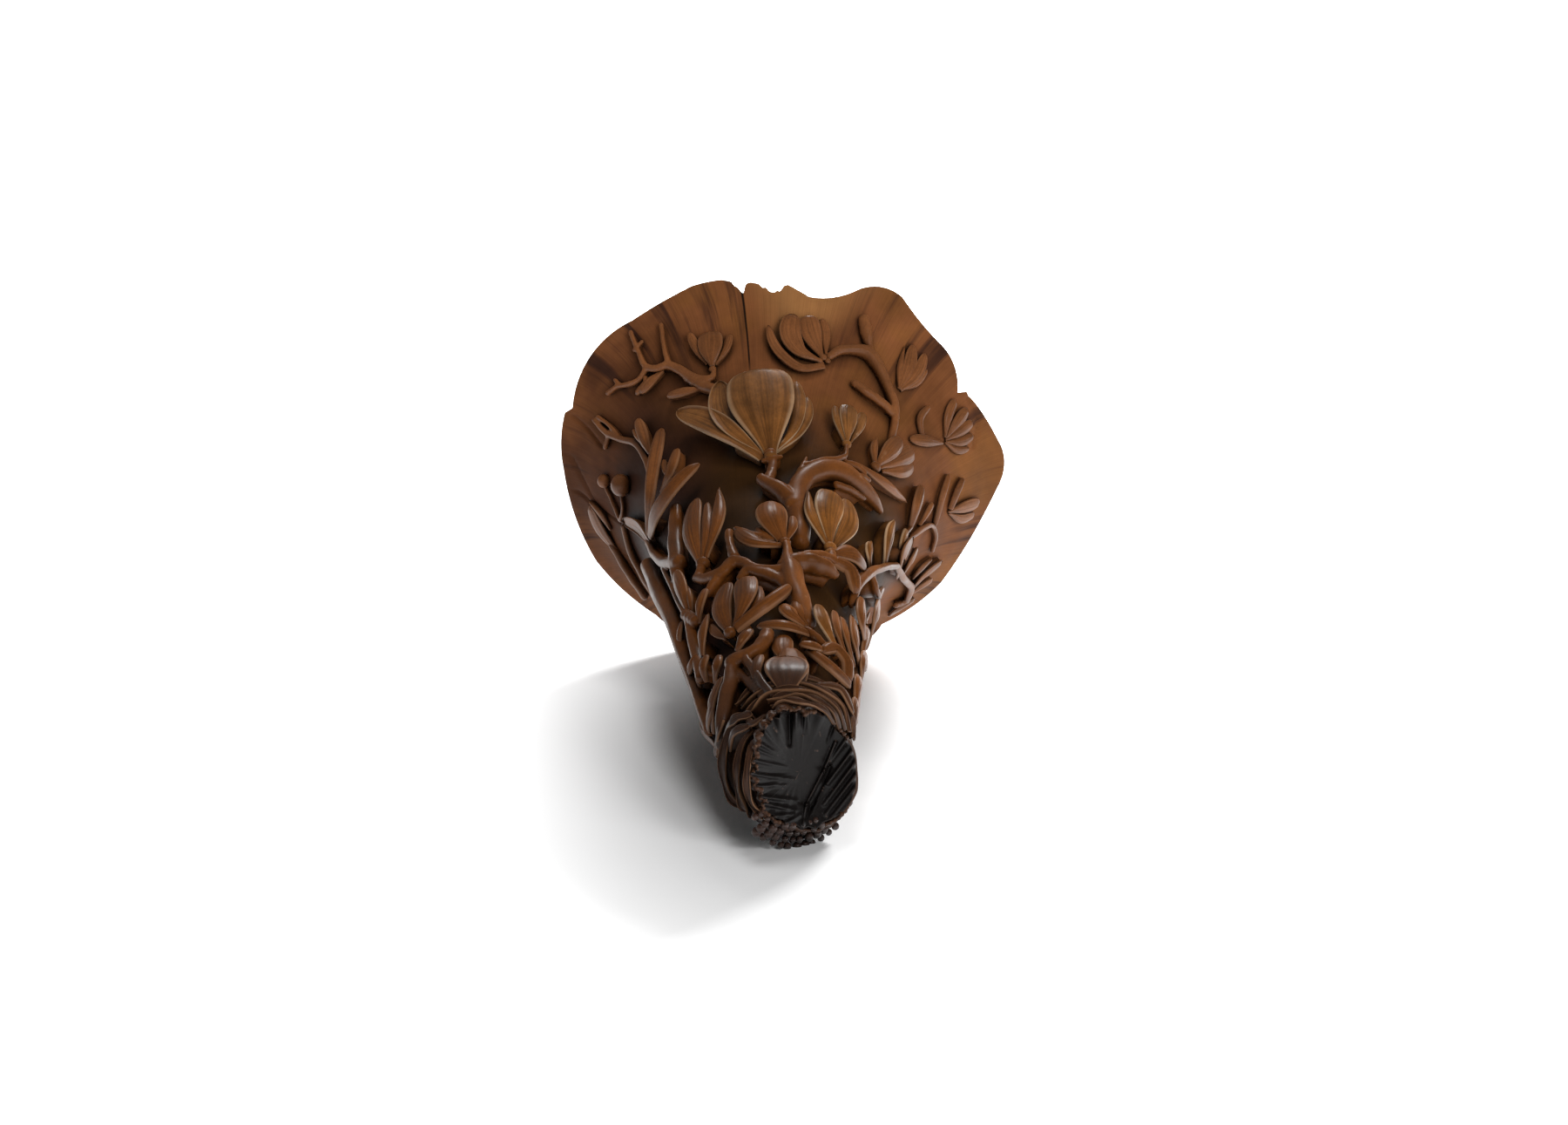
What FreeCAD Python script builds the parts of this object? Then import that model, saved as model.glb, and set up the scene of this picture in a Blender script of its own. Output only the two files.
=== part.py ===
"""A carved horn cup lying at rest: a whole curved horn, hollowed from its flared mouth, with magnolia
blossoms, branches, bamboo and a folded leaf carved round it in high relief. Millimetres, +Z up: the cup
lies on the plane Z = 0 with its tip towards -Y and its mouth towards +Y.

A place on the horn is a share of its length, 0 at the mouth and 1 at the tip, and a clock angle in
degrees seen from the tip: 0 on top, 90 on the right, 180 underneath."""

import FreeCAD
import Part
import Sketcher
import math
import os

from FreeCAD import Placement, Rotation, Vector

# Driving sizes: each can be set by itself
SIZES = {
    "horn_length": 283.0,  # from the centre of the mouth to the end of the tip
    "mouth_width": 168.0,
    "mouth_height": 151.0,
    "mouth_lean": 12.0,  # degrees that the mouth's plane leans back over the horn
    "mouth_place": 137.5,  # where the centre of the mouth stands along Y
    "tip_width": 38.0,
    "tip_clearance": 4.5,  # height of the horn's own wall over the table at the tip
    "tip_turn": 37.0,  # degrees that the end of the horn turns to the right
    "tip_hook": 7.0,  # how far the tip swings to the right
    "sway": 5.0,  # how far the middle of the horn bows to the left
    "lip_wall": 3.8,  # thickness of the wall, measured square to the horn's length
    "body_wall": 7.0,
    "bore_depth": 188.0,
    "bore_end_width": 20.0,
    "foot_flat": 1.2,  # depth of the worn flat under the rim
    "relief_height": 5.0,  # how far the carving stands off the horn
    "leaf_edge": 0.8,  # thickness of a petal or leaf at its edge
    "branch_width": 6.0,
    "berry_width": 7.0,
    "seat_gap": 0.15,  # between the carving's underside and the horn
    "overrun": 7.0,  # how far cutters run past what they cut
}

# The horn's stations: place, then shares of the growth in width from tip to mouth, of the mouth's flattening,
# of the rise from tip to mouth, of the mouth's lean, of the sway, of the hook, of the tip's turn, and of the
# wall's growth
STATION_SHARES = {
    "mouth": (0.0, 1.0, 1.0, 1.0, 1.0, 0.0, 0.0, 0.0, 0.0),
    "lip": (0.043, 0.792, 0.99, 0.945, 0.9, 0.1, 0.0, 0.0, 0.0),
    "bell": (0.108, 0.6, 0.89, 0.865, 0.8, 0.3, 0.0, 0.0, 0.05),
    "throat": (0.215, 0.423, 0.59, 0.737, 0.7, 0.6, 0.0, 0.0, 0.3),
    "neck": (0.353, 0.3, 0.4, 0.583, 0.5, 0.9, 0.0, 0.0, 0.7),
    "waist": (0.53, 0.2, 0.25, 0.4, 0.4, 1.0, 0.0, 0.0, 1.0),
    "shank": (0.707, 0.108, 0.2, 0.242, 0.3, 0.5, 0.0, 0.0, 1.0),
    "wrist": (0.88, 0.038, 0.2, 0.1, 0.0, 0.0, 0.12, 0.15, 1.0),
    "knuckle": (0.945, 0.023, 0.2, 0.04, 0.0, 0.0, 0.42, 0.5, 1.0),
    "tip": (1.0, 0.0, 0.2, 0.0, 0.0, 0.0, 1.0, 1.0, 1.0),
}
BORED_STATIONS = ("mouth", "lip", "bell", "throat", "neck", "waist")
OVERRUN_SHARE = 1.18  # the horn runs past the mouth this much wider, and the rim's outline trims it

# The lobed rim, clockwise from the top as seen from the tip, in shares of half the mouth's width and
# height: each row is an arc's start and middle, and a row with no middle is a straight step
RIM_SHARES = (
    ((0.02, 0.97), (0.17, 0.93)),
    ((0.31, 0.95), (0.43, 0.965)),
    ((0.53, 0.91), (0.62, 0.78)),
    ((0.71, 0.67), (0.765, 0.57)),
    ((0.78, 0.445), None),
    ((0.82, 0.44), (0.91, 0.29)),
    ((0.97, 0.16), (1.0, 0.04)),
    ((0.97, -0.09), (0.85, -0.35)),
    ((0.72, -0.60), (0.60, -0.73)),
    ((0.45, -0.84), (0.39, -0.94)),
    ((0.27, -1.0), (0.0, -0.985)),
    ((-0.27, -1.0), (-0.45, -0.93)),
    ((-0.59, -0.80), (-0.735, -0.665)),
    ((-0.86, -0.50), (-0.95, -0.26)),
    ((-1.0, 0.0), (-1.01, 0.15)),
    ((-0.99, 0.30), None),
    ((-0.955, 0.33), (-0.87, 0.6)),
    ((-0.68, 0.79), (-0.55, 0.885)),
    ((-0.41, 0.97), (-0.18, 1.01)),
)

# Single petals and leaves: the places that each runs through, then its width as a share of the horn's
# width there, and its height and how far its tip stands free of the horn as shares of the relief's
LEAF_SHARES = {
    "magnolia_left_petal": (((0.315, -9), (0.25, -25), (0.157, -34)), 0.16, 0.6, 1.3),
    "centre_long_leaf": (((0.28, 42), (0.26, 56), (0.203, 76)), 0.055, 0.45, 0.6),
    "upper_left_fan_leaf": (((0.06, -42), (0.06, -47), (0.056, -53)), 0.065, 0.4, 0.35),
    "upper_right_outer_petal": (((0.108, 12), (0.1, 1), (0.052, -5)), 0.035, 0.4, 0.45),
    "upper_right_inner_petal": (((0.095, 12), (0.078, 4), (0.037, 2)), 0.055, 0.45, 0.5),
    "upper_right_bud": (((0.05, 27), (0.038, 25), (0.023, 24)), 0.033, 0.6, 0.1),
    "left_scroll_bud": (((0.155, -60), (0.127, -58), (0.093, -57)), 0.05, 0.5, 0.6),
    "bamboo_upper_leaf": (((0.252, -85), (0.235, -64), (0.165, -51)), 0.08, 0.5, 1.0),
    "bamboo_lower_leaf": (((0.275, -84), (0.315, -58), (0.308, -35)), 0.11, 0.55, 1.1),
    "left_curled_bud": (((0.257, -62), (0.25, -52), (0.217, -46)), 0.08, 0.5, 0.7),
    "left_small_leaf": (((0.63, -59), (0.588, -55), (0.52, -58)), 0.11, 0.5, 0.9),
    "left_lower_leaf": (((0.743, -62), (0.722, -53), (0.685, -46)), 0.12, 0.45, 0.9),
    "right_calyx_leaf": (((0.543, 41), (0.523, 50), (0.503, 62)), 0.13, 0.5, 1.0),
    "right_under_leaf": (((0.573, 42), (0.573, 49), (0.6, 57)), 0.1, 0.5, 1.0),
    "finger_leaf": (((0.785, -22), (0.765, -6), (0.718, 1)), 0.1, 0.5, 1.1),
    "pink_bud": (((0.79, 18), (0.783, 12), (0.763, 8)), 0.11, 0.5, 0.9),
    "cross_leaf": (((0.804, 20), (0.812, 3), (0.802, -14)), 0.12, 0.5, 1.1),
    "orange_leaf": (((0.802, 41), (0.78, 32), (0.73, 29)), 0.12, 0.5, 1.1),
    "curved_leaf": (((0.866, 50), (0.838, 42), (0.848, 26)), 0.12, 0.5, 1.1),
    "round_leaf": (((0.953, -8), (0.928, -4), (0.89, -2)), 0.34, 0.6, 1.05),
    "right_lower_petal": (((0.735, 80), (0.745, 61), (0.67, 54)), 0.11, 0.5, 0.9),
    "right_cluster_bud": (((0.203, 89), (0.187, 82), (0.153, 76)), 0.056, 0.5, 0.5),
    "right_edge_bud": (((0.075, 98), (0.053, 100), (0.028, 100)), 0.055, 0.4, 0.2),
    "tip_band_left": (((0.83, -108), (0.872, -76), (0.853, -53)), 0.12, 0.4, 0.6),
    "tip_band_right": (((0.935, 64), (0.937, 42), (0.94, 22)), 0.14, 0.45, 0.5),
    "tip_outer_leaf": (((0.953, -50), (0.953, -88), (0.95, -128)), 0.09, 0.45, 0.5),
    "tip_middle_leaf": (((0.976, -52), (0.98, -90), (0.972, -132)), 0.08, 0.45, 0.6),
    "tip_inner_leaf": (((0.992, -52), (0.993, -88), (0.992, -120)), 0.065, 0.5, 0.6),
    "under_left_leaf": (((0.3, -125), (0.4, -132), (0.5, -128)), 0.14, 0.5, 0.7),
    "under_right_leaf": (((0.28, 122), (0.38, 130), (0.48, 124)), 0.14, 0.5, 0.7),
}

# Fluted blossoms: the same, and how many petals stand side by side
BLOOM_SHARES = {
    "magnolia_blossom": (((0.318, 0), (0.22, -1), (0.145, -2)), 0.28, 0.9, 1.7, 4),
    "upper_left_blossom": (((0.092, -24), (0.068, -22), (0.04, -22)), 0.12, 0.55, 0.4, 3),
    "upper_right_blossom": (((0.09, 16), (0.065, 13), (0.037, 11)), 0.075, 0.5, 0.45, 2),
    "far_right_blossom": (((0.08, 44), (0.05, 43), (0.023, 42)), 0.115, 0.4, 0.15, 3),
    "right_edge_blossom": (((0.068, 70), (0.045, 69), (0.024, 68)), 0.14, 0.4, 0.15, 4),
    "centre_right_bud": (((0.243, 32), (0.22, 30), (0.175, 29)), 0.14, 0.6, 0.9, 3),
    "right_fan_blossom": (((0.23, 53), (0.2, 56), (0.155, 60)), 0.22, 0.5, 0.5, 4),
    "left_blossom": (((0.545, -42), (0.485, -35), (0.4, -33)), 0.22, 0.6, 1.1, 3),
    "lower_right_blossom": (((0.523, 38), (0.48, 34), (0.412, 32)), 0.26, 0.7, 1.4, 3),
    "centre_small_bud": (((0.562, 6), (0.532, 3), (0.482, 1)), 0.2, 0.6, 1.35, 3),
    "right_yellow_petals": (((0.35, 80), (0.33, 76), (0.277, 74)), 0.1, 0.5, 0.7, 2),
    "lower_left_bloom": (((0.768, -33), (0.735, -26), (0.67, -20)), 0.3, 0.65, 1.25, 3),
}

# Branches: each limb's places, its thickness as a share of a branch's, and how far it rises off the horn
# as a share of the relief's height, the trunk first
BRANCH_SHARES = {
    "magnolia_stalk": ((((0.325, -2), (0.36, -1), (0.382, -2)), 0.75, 0.15),),
    "centre_branch": (
        (((0.525, 18), (0.48, 16), (0.43, 8), (0.395, -4)), 1.25, 0.0),
        (((0.46, 15), (0.375, 20), (0.335, 34), (0.32, 50), (0.303, 63)), 1.3, 0.1),
        (((0.347, 26), (0.307, 31), (0.257, 34)), 0.45, 0.5),
    ),
    "upper_left_branch": (
        (((0.137, -24), (0.115, -29), (0.093, -33), (0.073, -36), (0.055, -40), (0.04, -46), (0.03, -56),
          (0.023, -60)), 0.65, 0.1),
        (((0.062, -38), (0.037, -38), (0.012, -34)), 0.45, 0.1),
        (((0.042, -46), (0.018, -45), (0.004, -42)), 0.45, 0.1),
    ),
    "upper_right_branch": (
        (((0.08, 20), (0.066, 22), (0.065, 28), (0.075, 33), (0.1, 42), (0.135, 50)), 0.7, 0.1),
        (((0.127, 48), (0.122, 40), (0.115, 31)), 0.5, 0.2),
    ),
    "left_twig": (
        (((0.19, -68), (0.15, -64), (0.107, -64), (0.077, -69), (0.05, -70), (0.023, -70)), 0.5, 0.1),
        (((0.053, -70), (0.053, -75)), 0.4, 0.0),
    ),
    "left_berry_stalks": (
        (((0.06, -91), (0.08, -94), (0.097, -98)), 0.3, 0.1),
        (((0.104, -91), (0.105, -94), (0.094, -97)), 0.3, 0.1),
    ),
    "left_stem": (
        (((0.103, -101), (0.095, -112), (0.08, -124), (0.04, -137)), 0.5, 0.0),
        (((0.043, -114), (0.045, -124), (0.042, -136)), 0.55, 0.0),
    ),
    "bamboo_stalk": (
        (((0.27, -99), (0.4, -90), (0.527, -81), (0.61, -80), (0.683, -82), (0.77, -88), (0.843, -98)),
         1.25, 0.0),
        (((0.28, -98), (0.333, -86), (0.43, -70), (0.49, -60)), 0.9, 0.1),
        (((0.51, -64), (0.463, -60), (0.39, -58), (0.33, -57)), 1.0, 0.1),
        (((0.43, -71), (0.567, -67), (0.64, -65), (0.7, -68), (0.777, -74)), 0.6, 0.4),
    ),
    "lower_centre_branch": (
        (((0.742, 17), (0.69, 11), (0.637, 9), (0.583, 9)), 1.35, 0.1),
        (((0.65, 6), (0.632, -8), (0.615, -22), (0.612, -35), (0.58, -48)), 0.75, 0.4),
        (((0.613, -21), (0.57, -21), (0.535, -23)), 0.45, 0.4),
        (((0.69, 8), (0.67, -8), (0.655, -20)), 0.75, 0.3),
    ),
    "lower_right_arm": (
        (((0.625, 24), (0.615, 31), (0.607, 38)), 1.1, 0.4),
        (((0.615, 27), (0.595, 30), (0.58, 37)), 0.65, 0.6),
    ),
    "right_fretwork": (
        (((0.61, 60), (0.57, 60), (0.513, 65), (0.427, 75), (0.33, 91), (0.25, 104), (0.207, 112)), 0.55, 0.1),
        (((0.213, 111), (0.14, 122), (0.08, 130), (0.043, 138)), 0.5, 0.0),
        (((0.39, 81), (0.36, 94), (0.31, 108)), 0.45, 0.1),
    ),
    "knot_branch": (
        (((0.838, -9), (0.855, -15), (0.863, -24), (0.863, -38)), 0.95, 0.5),
        (((0.867, -28), (0.903, -27), (0.935, -25)), 0.5, 0.2),
        (((0.863, -36), (0.897, -45), (0.913, -56), (0.925, -69), (0.925, -82)), 0.8, 0.4),
    ),
    "under_branch": ((((0.3, 165), (0.45, 172), (0.6, 178), (0.75, 170)), 0.8, 0.0),),
}

# The two berries: place, clock, and width as a share of a berry's
BERRY_SHARES = {"large": (0.1, -85, 1.0), "small": (0.06, -87, 0.65)}

# How a leaf or a blossom swells and lifts along its length: share of length, of width, of height, of lift
LEAF_OUTLINE_SHARES = ((0, 0.25, 0.5, 0), (0.2, 0.7, 0.85, 0.45), (0.5, 1.0, 1.0, 0.85),
                       (0.8, 0.8, 0.8, 1.0), (1.0, 0.25, 0.4, 1.0))
BLOOM_OUTLINE_SHARES = ((0, 0.25, 0.5, 0), (0.3, 0.6, 0.95, 0.5), (0.65, 0.95, 1.0, 0.85),
                        (0.9, 0.95, 0.7, 1.0), (1.0, 0.7, 0.3, 1.0))
VALLEY_SHARE = 0.6  # height kept between two petals, of a petal's crown
VALLEY_SLOPE_SHARE = 0.35  # deepest valley, of a petal's own width
STEEPEST_SHARE = 0.6  # greatest height of a section, of its width
BRANCH_TAPER_SHARE = 0.6  # thickness of a limb's end, of its start
BRANCH_RISE_SHARE = 0.35  # of a limb's length, over which it rises

# The folded leaf on the end of the horn: along the midrib, width and height, and its rolled edge
TIP_LEAF_OUTLINE_SHARES = ((0, 0.35, 0.5, 0), (0.25, 0.85, 0.9, 0), (0.6, 0.95, 1.0, 0),
                           (0.85, 0.7, 0.8, 0), (1.0, 0.3, 0.4, 0))
TIP_LEAF_LEAN = 22.0
ROLLED_EDGE_CLOCKS = (-158, -125, -90, -55, -20, 15, 50, 80)
ROLLED_EDGE_SHARE = 0.45  # of a branch's thickness
# The seeds packed under the tip: first and last place, width of the row, share of the space down to the
# table before the wear, how many stand side by side, and how the rows swell along it
SEED_ROUTE_SHARES = ((0.925, 176), (0.96, 178), (0.992, 180))
SEED_WIDTH_SHARE = 0.62  # of the tip's width
SEED_DEPTH_SHARE = 1.35
SEED_COUNT = 5
SEED_OUTLINE_SHARES = ((0, 0.6, 0.6, 0), (0.17, 0.85, 1, 0), (0.33, 0.85, 0.8, 0), (0.5, 1, 1, 0),
                       (0.67, 0.95, 0.8, 0), (0.83, 1, 1, 0), (1, 0.8, 0.6, 0))


class Horn:
    """The horn's outside, read as places."""

    def __init__(self, sheet, face):
        self.sheet = sheet
        self.face = face
        self.surface = face.Surface
        self.mouth_rise = sheet.mouth_height / 2 * math.cos(math.radians(sheet.mouth_lean)) - sheet.foot_flat
        self.tip_rise = sheet.tip_width / 2 + sheet.tip_clearance

    def station(self, name):
        """Centre, half width, half height, lean and turn of one station."""
        place, swell, flat, rise, lean, sway, hook, turn, _ = STATION_SHARES[name]
        centre = Vector(self.sheet.tip_hook * hook - self.sheet.sway * sway,
                        self.sheet.mouth_place - self.sheet.horn_length * place,
                        self.tip_rise + (self.mouth_rise - self.tip_rise) * rise)
        half_width = (self.sheet.tip_width + (self.sheet.mouth_width - self.sheet.tip_width) * swell) / 2
        half_height = half_width * (1 - (1 - self.sheet.mouth_height / self.sheet.mouth_width) * flat)
        return centre, half_width, half_height, self.sheet.mouth_lean * lean, self.sheet.tip_turn * turn

    def between(self, place):
        """The same five values at any place, mixed from the stations on either side."""
        names = list(STATION_SHARES)
        after = next((i for i, n in enumerate(names) if STATION_SHARES[n][0] > place), len(names) - 1)
        first, last = STATION_SHARES[names[after - 1]][0], STATION_SHARES[names[after]][0]
        share = (place - first) / (last - first)
        pairs = zip(self.station(names[after - 1]), self.station(names[after]))
        return [a + (b - a) * share for a, b in pairs]

    def width_at(self, place):
        """The horn's width at a place."""
        return self.between(place)[1] * 2

    def seat(self, point):
        """The nearest point of the outside, and the direction straight off it."""
        u, v = self.surface.parameter(point)
        return self.surface.value(u, v), self.face.normalAt(u, v)

    def spot(self, place, clock):
        """The point of the outside at a place."""
        centre, half_width, half_height, lean, turn = self.between(place)
        across = Rotation(Vector(0, 0, 1), turn).multVec(Vector(1, 0, 0))
        up = Rotation(Vector(1, 0, 0), lean).multVec(Vector(0, 0, 1))
        angle = math.radians(clock)
        return self.seat(centre + across * half_width * math.sin(angle) + up * half_height * math.cos(angle))


class CapPlane:
    """The flat end of the horn, read the same way: a point of it and the direction straight off it."""

    def __init__(self, centre, turn):
        self.centre = centre
        self.across = Rotation(Vector(0, 0, 1), turn).multVec(Vector(1, 0, 0))
        self.off = Rotation(Vector(0, 0, 1), turn).multVec(Vector(0, -1, 0))

    def at(self, clock, reach):
        """The point at a clock angle and a distance from the centre."""
        angle = math.radians(clock)
        return self.centre + self.across * reach * math.sin(angle) + Vector(0, 0, 1) * reach * math.cos(angle)

    def seat(self, point):
        """The nearest point of the plane and its direction."""
        return point - self.off * (point - self.centre).dot(self.off), self.off


def smooth(points, share):
    """The point at a share of a smooth route through points that may be vectors or places."""
    spans = len(points) - 1
    span = min(int(share * spans), spans - 1)
    local = share * spans - span
    a, b = points[span], points[span + 1]
    before = points[span - 1] if span else a
    after = points[span + 2] if span + 2 <= spans else b
    result = []
    for p0, p1, p2, p3 in zip(before, a, b, after):
        slope1, slope2 = (p2 - p0) / 2, (p3 - p1) / 2
        cube, square = local ** 3, local ** 2
        result.append((2 * cube - 3 * square + 1) * p1 + (cube - 2 * square + local) * slope1
                      + (3 * square - 2 * cube) * p2 + (cube - square) * slope2)
    return result


def bow(first, middle, last):
    """The arc through three points, or the line where they lie in one."""
    if (middle - first).getAngle(last - middle) < math.radians(0.01):
        return Part.makeLine(first, last)
    return Part.Arc(first, middle, last).toShape()


def ridge_section(ground, middle, along, width, height, lift, petals, sizes):
    """A flat closed wire across a leaf or blossom: its foot follows the ground, its top has an arc a petal."""
    height = min(height, width * STEEPEST_SHARE)
    valley = max(height * VALLEY_SHARE, height - width / petals * VALLEY_SLOPE_SHARE)
    gap, edge = sizes.seat_gap, min(sizes.leaf_edge, height / 2)
    across = ground.seat(middle)[1].cross(along).normalize()

    def raised(share, rise):
        point, off = ground.seat(middle + across * width * (share - 0.5))
        point = point + off * (gap + lift + rise)
        return point - along * (point - middle).dot(along)

    foot = [raised(share, 0) for share in (0, 0.5, 1)]
    tops = [raised(0, edge)]
    for petal in range(petals):
        tops.append(raised((petal + 0.5) / petals, height))
        tops.append(raised((petal + 1) / petals, valley if petal + 1 < petals else edge))
    edges = [bow(*foot), Part.makeLine(foot[-1], tops[-1])]
    for last in range(len(tops) - 1, 0, -2):
        edges.append(bow(tops[last], tops[last - 1], tops[last - 2]))
    edges.append(Part.makeLine(tops[0], foot[0]))
    return Part.Wire(edges)


def heading(route, share):
    """The direction of a smooth route at a share of it."""
    step = 0.01
    return (Vector(*smooth(route, min(share + step, 1)))
            - Vector(*smooth(route, max(share - step, 0)))).normalize()


def ridge_solid(ground, route, width, height, lift, petals, outline, sizes):
    """A leaf or blossom that runs along a route on the ground and lifts off it towards its tip."""
    sections = []
    for share, wide, tall, free in outline:
        middle = ground.seat(Vector(*smooth(route, share)))[0]
        sections.append(ridge_section(ground, middle, heading(route, share), width * wide, height * tall,
                                      lift * free, petals, sizes))
    return Part.makeLoft(sections, True)


def branch_solid(ground, route, thickness, start_lift, lift, sizes):
    """A round limb over the ground, which rises to its lift and gets thinner towards its end."""
    rings = []
    count = 2 * len(route) - 1
    for index in range(count):
        share = index / (count - 1)
        radius = thickness / 2 * (1 + (BRANCH_TAPER_SHARE - 1) * share)
        point, off = ground.seat(Vector(*smooth(route, share)))
        rise = radius + sizes.seat_gap + start_lift + (lift - start_lift) * min(share / BRANCH_RISE_SHARE, 1)
        ring = Part.Circle(point + off * rise, heading(route, share), radius)
        rings.append(Part.Wire([ring.toShape()]))
    return Part.makeLoft(rings, True)


def fill_sheet(doc):
    """The spreadsheet of driving sizes."""
    sheet = doc.addObject("Spreadsheet::Sheet", "Sizes")
    for row, (name, value) in enumerate(SIZES.items(), 1):
        sheet.set(f"A{row}", name)
        sheet.set(f"B{row}", str(value))
        sheet.setAlias(f"B{row}", name)
    doc.recompute()
    return sheet


def add_station(body, name, label, width, height, shift):
    """An elliptical section of the horn at a station, its sizes bound to the sheet."""
    place, _, _, rise, lean, sway, hook, turn, _ = STATION_SHARES[name]
    upright = SIZES["mouth_height"] > SIZES["mouth_width"]
    mouth_rise = "(Sizes.mouth_height / 2 * cos(Sizes.mouth_lean * 1 deg) - Sizes.foot_flat)"
    tip_rise = "(Sizes.tip_width / 2 + Sizes.tip_clearance)"
    axis, angle = (Vector(0, 1, 0), f"Sizes.tip_turn * {turn}") if turn else \
        (Vector(1, 0, 0), f"Sizes.mouth_lean * {lean}")
    sketch = body.newObject("Sketcher::SketchObject", label)
    plane = next(f for f in body.Origin.OriginFeatures if f.Role == "XZ_Plane")
    sketch.AttachmentSupport = [(plane, "")]
    sketch.MapMode = "FlatFace"
    sketch.AttachmentOffset = Placement(Vector(), Rotation(axis, 1))
    longest, other = (Vector(0, 2, 0), Vector(-1, 0, 0)) if upright else (Vector(2, 0, 0), Vector(0, 1, 0))
    ring = sketch.addGeometry(Part.Ellipse(longest, other, Vector()), False)
    sketch.exposeInternalGeometry(ring)
    sketch.addConstraint(Sketcher.Constraint("Coincident", ring, 3, -1, 1))
    sketch.addConstraint(Sketcher.Constraint("Vertical" if upright else "Horizontal", ring + 1))
    longer, shorter = (height, width) if upright else (width, height)
    for line, key, value, text in ((1, "longer", 4.0, longer), (2, "shorter", 2.0, shorter)):
        index = sketch.addConstraint(Sketcher.Constraint("Distance", ring + line, value))
        sketch.renameConstraint(index, key)
        sketch.setExpression(f"Constraints.{key}", text)
    sketch.setExpression("AttachmentOffset.Base.x", f"Sizes.tip_hook * {hook} - Sizes.sway * {sway}")
    sketch.setExpression("AttachmentOffset.Base.y", f"{tip_rise} + ({mouth_rise} - {tip_rise}) * {rise}")
    sketch.setExpression("AttachmentOffset.Base.z",
                         f"Sizes.horn_length * {place} - Sizes.mouth_place + {shift}")
    sketch.setExpression("AttachmentOffset.Rotation.Angle", angle)
    return sketch


def station_size(name, overrun=1.0):
    """The sheet's text for a station's outside width and height."""
    _, swell, flat, *_ = STATION_SHARES[name]
    wide = f"(Sizes.tip_width + (Sizes.mouth_width - Sizes.tip_width) * {swell})"
    tall = f"{wide} * (1 - (1 - Sizes.mouth_height / Sizes.mouth_width) * {flat})"
    return f"{wide} * {overrun}", f"{tall} * {overrun}"


def add_loft(body, kind, label, sections):
    """A smooth loft through sections."""
    loft = body.newObject(f"PartDesign::{kind}", label)
    loft.Profile = (sections[0], [""])
    loft.Sections = [(section, [""]) for section in sections[1:]]
    return loft


def add_horn_blank(doc):
    """The hollow horn before its rim is trimmed. Returns it and its outside face."""
    body = doc.addObject("PartDesign::Body", "horn_blank")
    past = "-Sizes.overrun"
    outside = [add_station(body, "mouth", "outside_past", *station_size("mouth", OVERRUN_SHARE), past)]
    for name in STATION_SHARES:
        outside.append(add_station(body, name, f"outside_{name}", *station_size(name), "0"))
    add_loft(body, "AdditiveLoft", "outside", outside)
    doc.recompute()
    face = max(body.Shape.Faces, key=lambda f: f.Area)

    def bored(name, label, overrun, shift):
        growth = STATION_SHARES[name][-1]
        wall = f"2 * (Sizes.lip_wall + (Sizes.body_wall - Sizes.lip_wall) * {growth})"
        wide, tall = station_size(name, overrun)
        return add_station(body, name, label, f"{wide} - {wall}", f"{tall} - {wall}", shift)

    inside = [bored("mouth", "inside_past", OVERRUN_SHARE, past)]
    inside += [bored(name, f"inside_{name}", 1.0, "0") for name in BORED_STATIONS]
    deep, _, flat, *_ = STATION_SHARES["waist"]
    flattening = f"(1 - (1 - Sizes.mouth_height / Sizes.mouth_width) * {flat})"
    inside.append(add_station(body, "waist", "inside_end", "Sizes.bore_end_width * 1",
                              f"Sizes.bore_end_width * {flattening}",
                              f"Sizes.bore_depth - Sizes.horn_length * {deep}"))
    add_loft(body, "SubtractiveLoft", "inside", inside)
    doc.recompute()
    return body, face


def rim_face(horn, sheet):
    """The lobed outline that trims the rim, flat in the mouth's own plane."""
    half_width, half_height = sheet.mouth_width / 2, sheet.mouth_height / 2

    def corner(shares):
        return Vector(shares[0] * half_width, shares[1] * half_height, 0)

    edges = []
    for index, (start, middle) in enumerate(RIM_SHARES):
        end = RIM_SHARES[(index + 1) % len(RIM_SHARES)][0]
        if middle is None:
            edges.append(Part.makeLine(corner(start), corner(end)))
        else:
            edges.append(Part.Arc(corner(start), corner(middle), corner(end)).toShape())
    return Part.Face(Part.Wire(edges))


def add_horn_body(doc, sheet, blank, horn):
    """The horn with its lobed rim and the worn flat that it rests on."""
    outline = doc.addObject("Part::Feature", "rim_outline")
    outline.Shape = rim_face(horn, sheet)
    turn = Rotation(Vector(1, 0, 0), 90 + sheet.mouth_lean)
    outline.Placement = Placement(horn.station("mouth")[0] - turn.multVec(Vector(0, 0, sheet.mouth_width / 2)),
                                  turn)
    prism = doc.addObject("Part::Extrusion", "rim_prism")
    prism.Base = outline
    prism.DirMode = "Normal"
    prism.Solid = True
    prism.Reversed = True
    prism.setExpression("LengthFwd", "Sizes.mouth_width + Sizes.horn_length")
    trimmed = doc.addObject("Part::Common", "rim_trimmed")
    trimmed.Base, trimmed.Tool = blank, prism
    table = add_table_block(doc, "table_under_horn")
    body = doc.addObject("Part::Cut", "horn_body")
    body.Base, body.Tool = trimmed, table
    return body


def add_table_block(doc, label):
    """A block under the plane Z = 0 that cuts off whatever reaches below it."""
    block = doc.addObject("Part::Box", label)
    block.setExpression("Length", "Sizes.mouth_width * 2")
    block.setExpression("Width", "Sizes.horn_length * 2")
    block.setExpression("Height", "Sizes.overrun * 2")
    block.setExpression("Placement.Base.x", "-Sizes.mouth_width")
    block.setExpression("Placement.Base.y", "-Sizes.horn_length")
    block.setExpression("Placement.Base.z", "-Sizes.overrun * 2")
    return block


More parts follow.
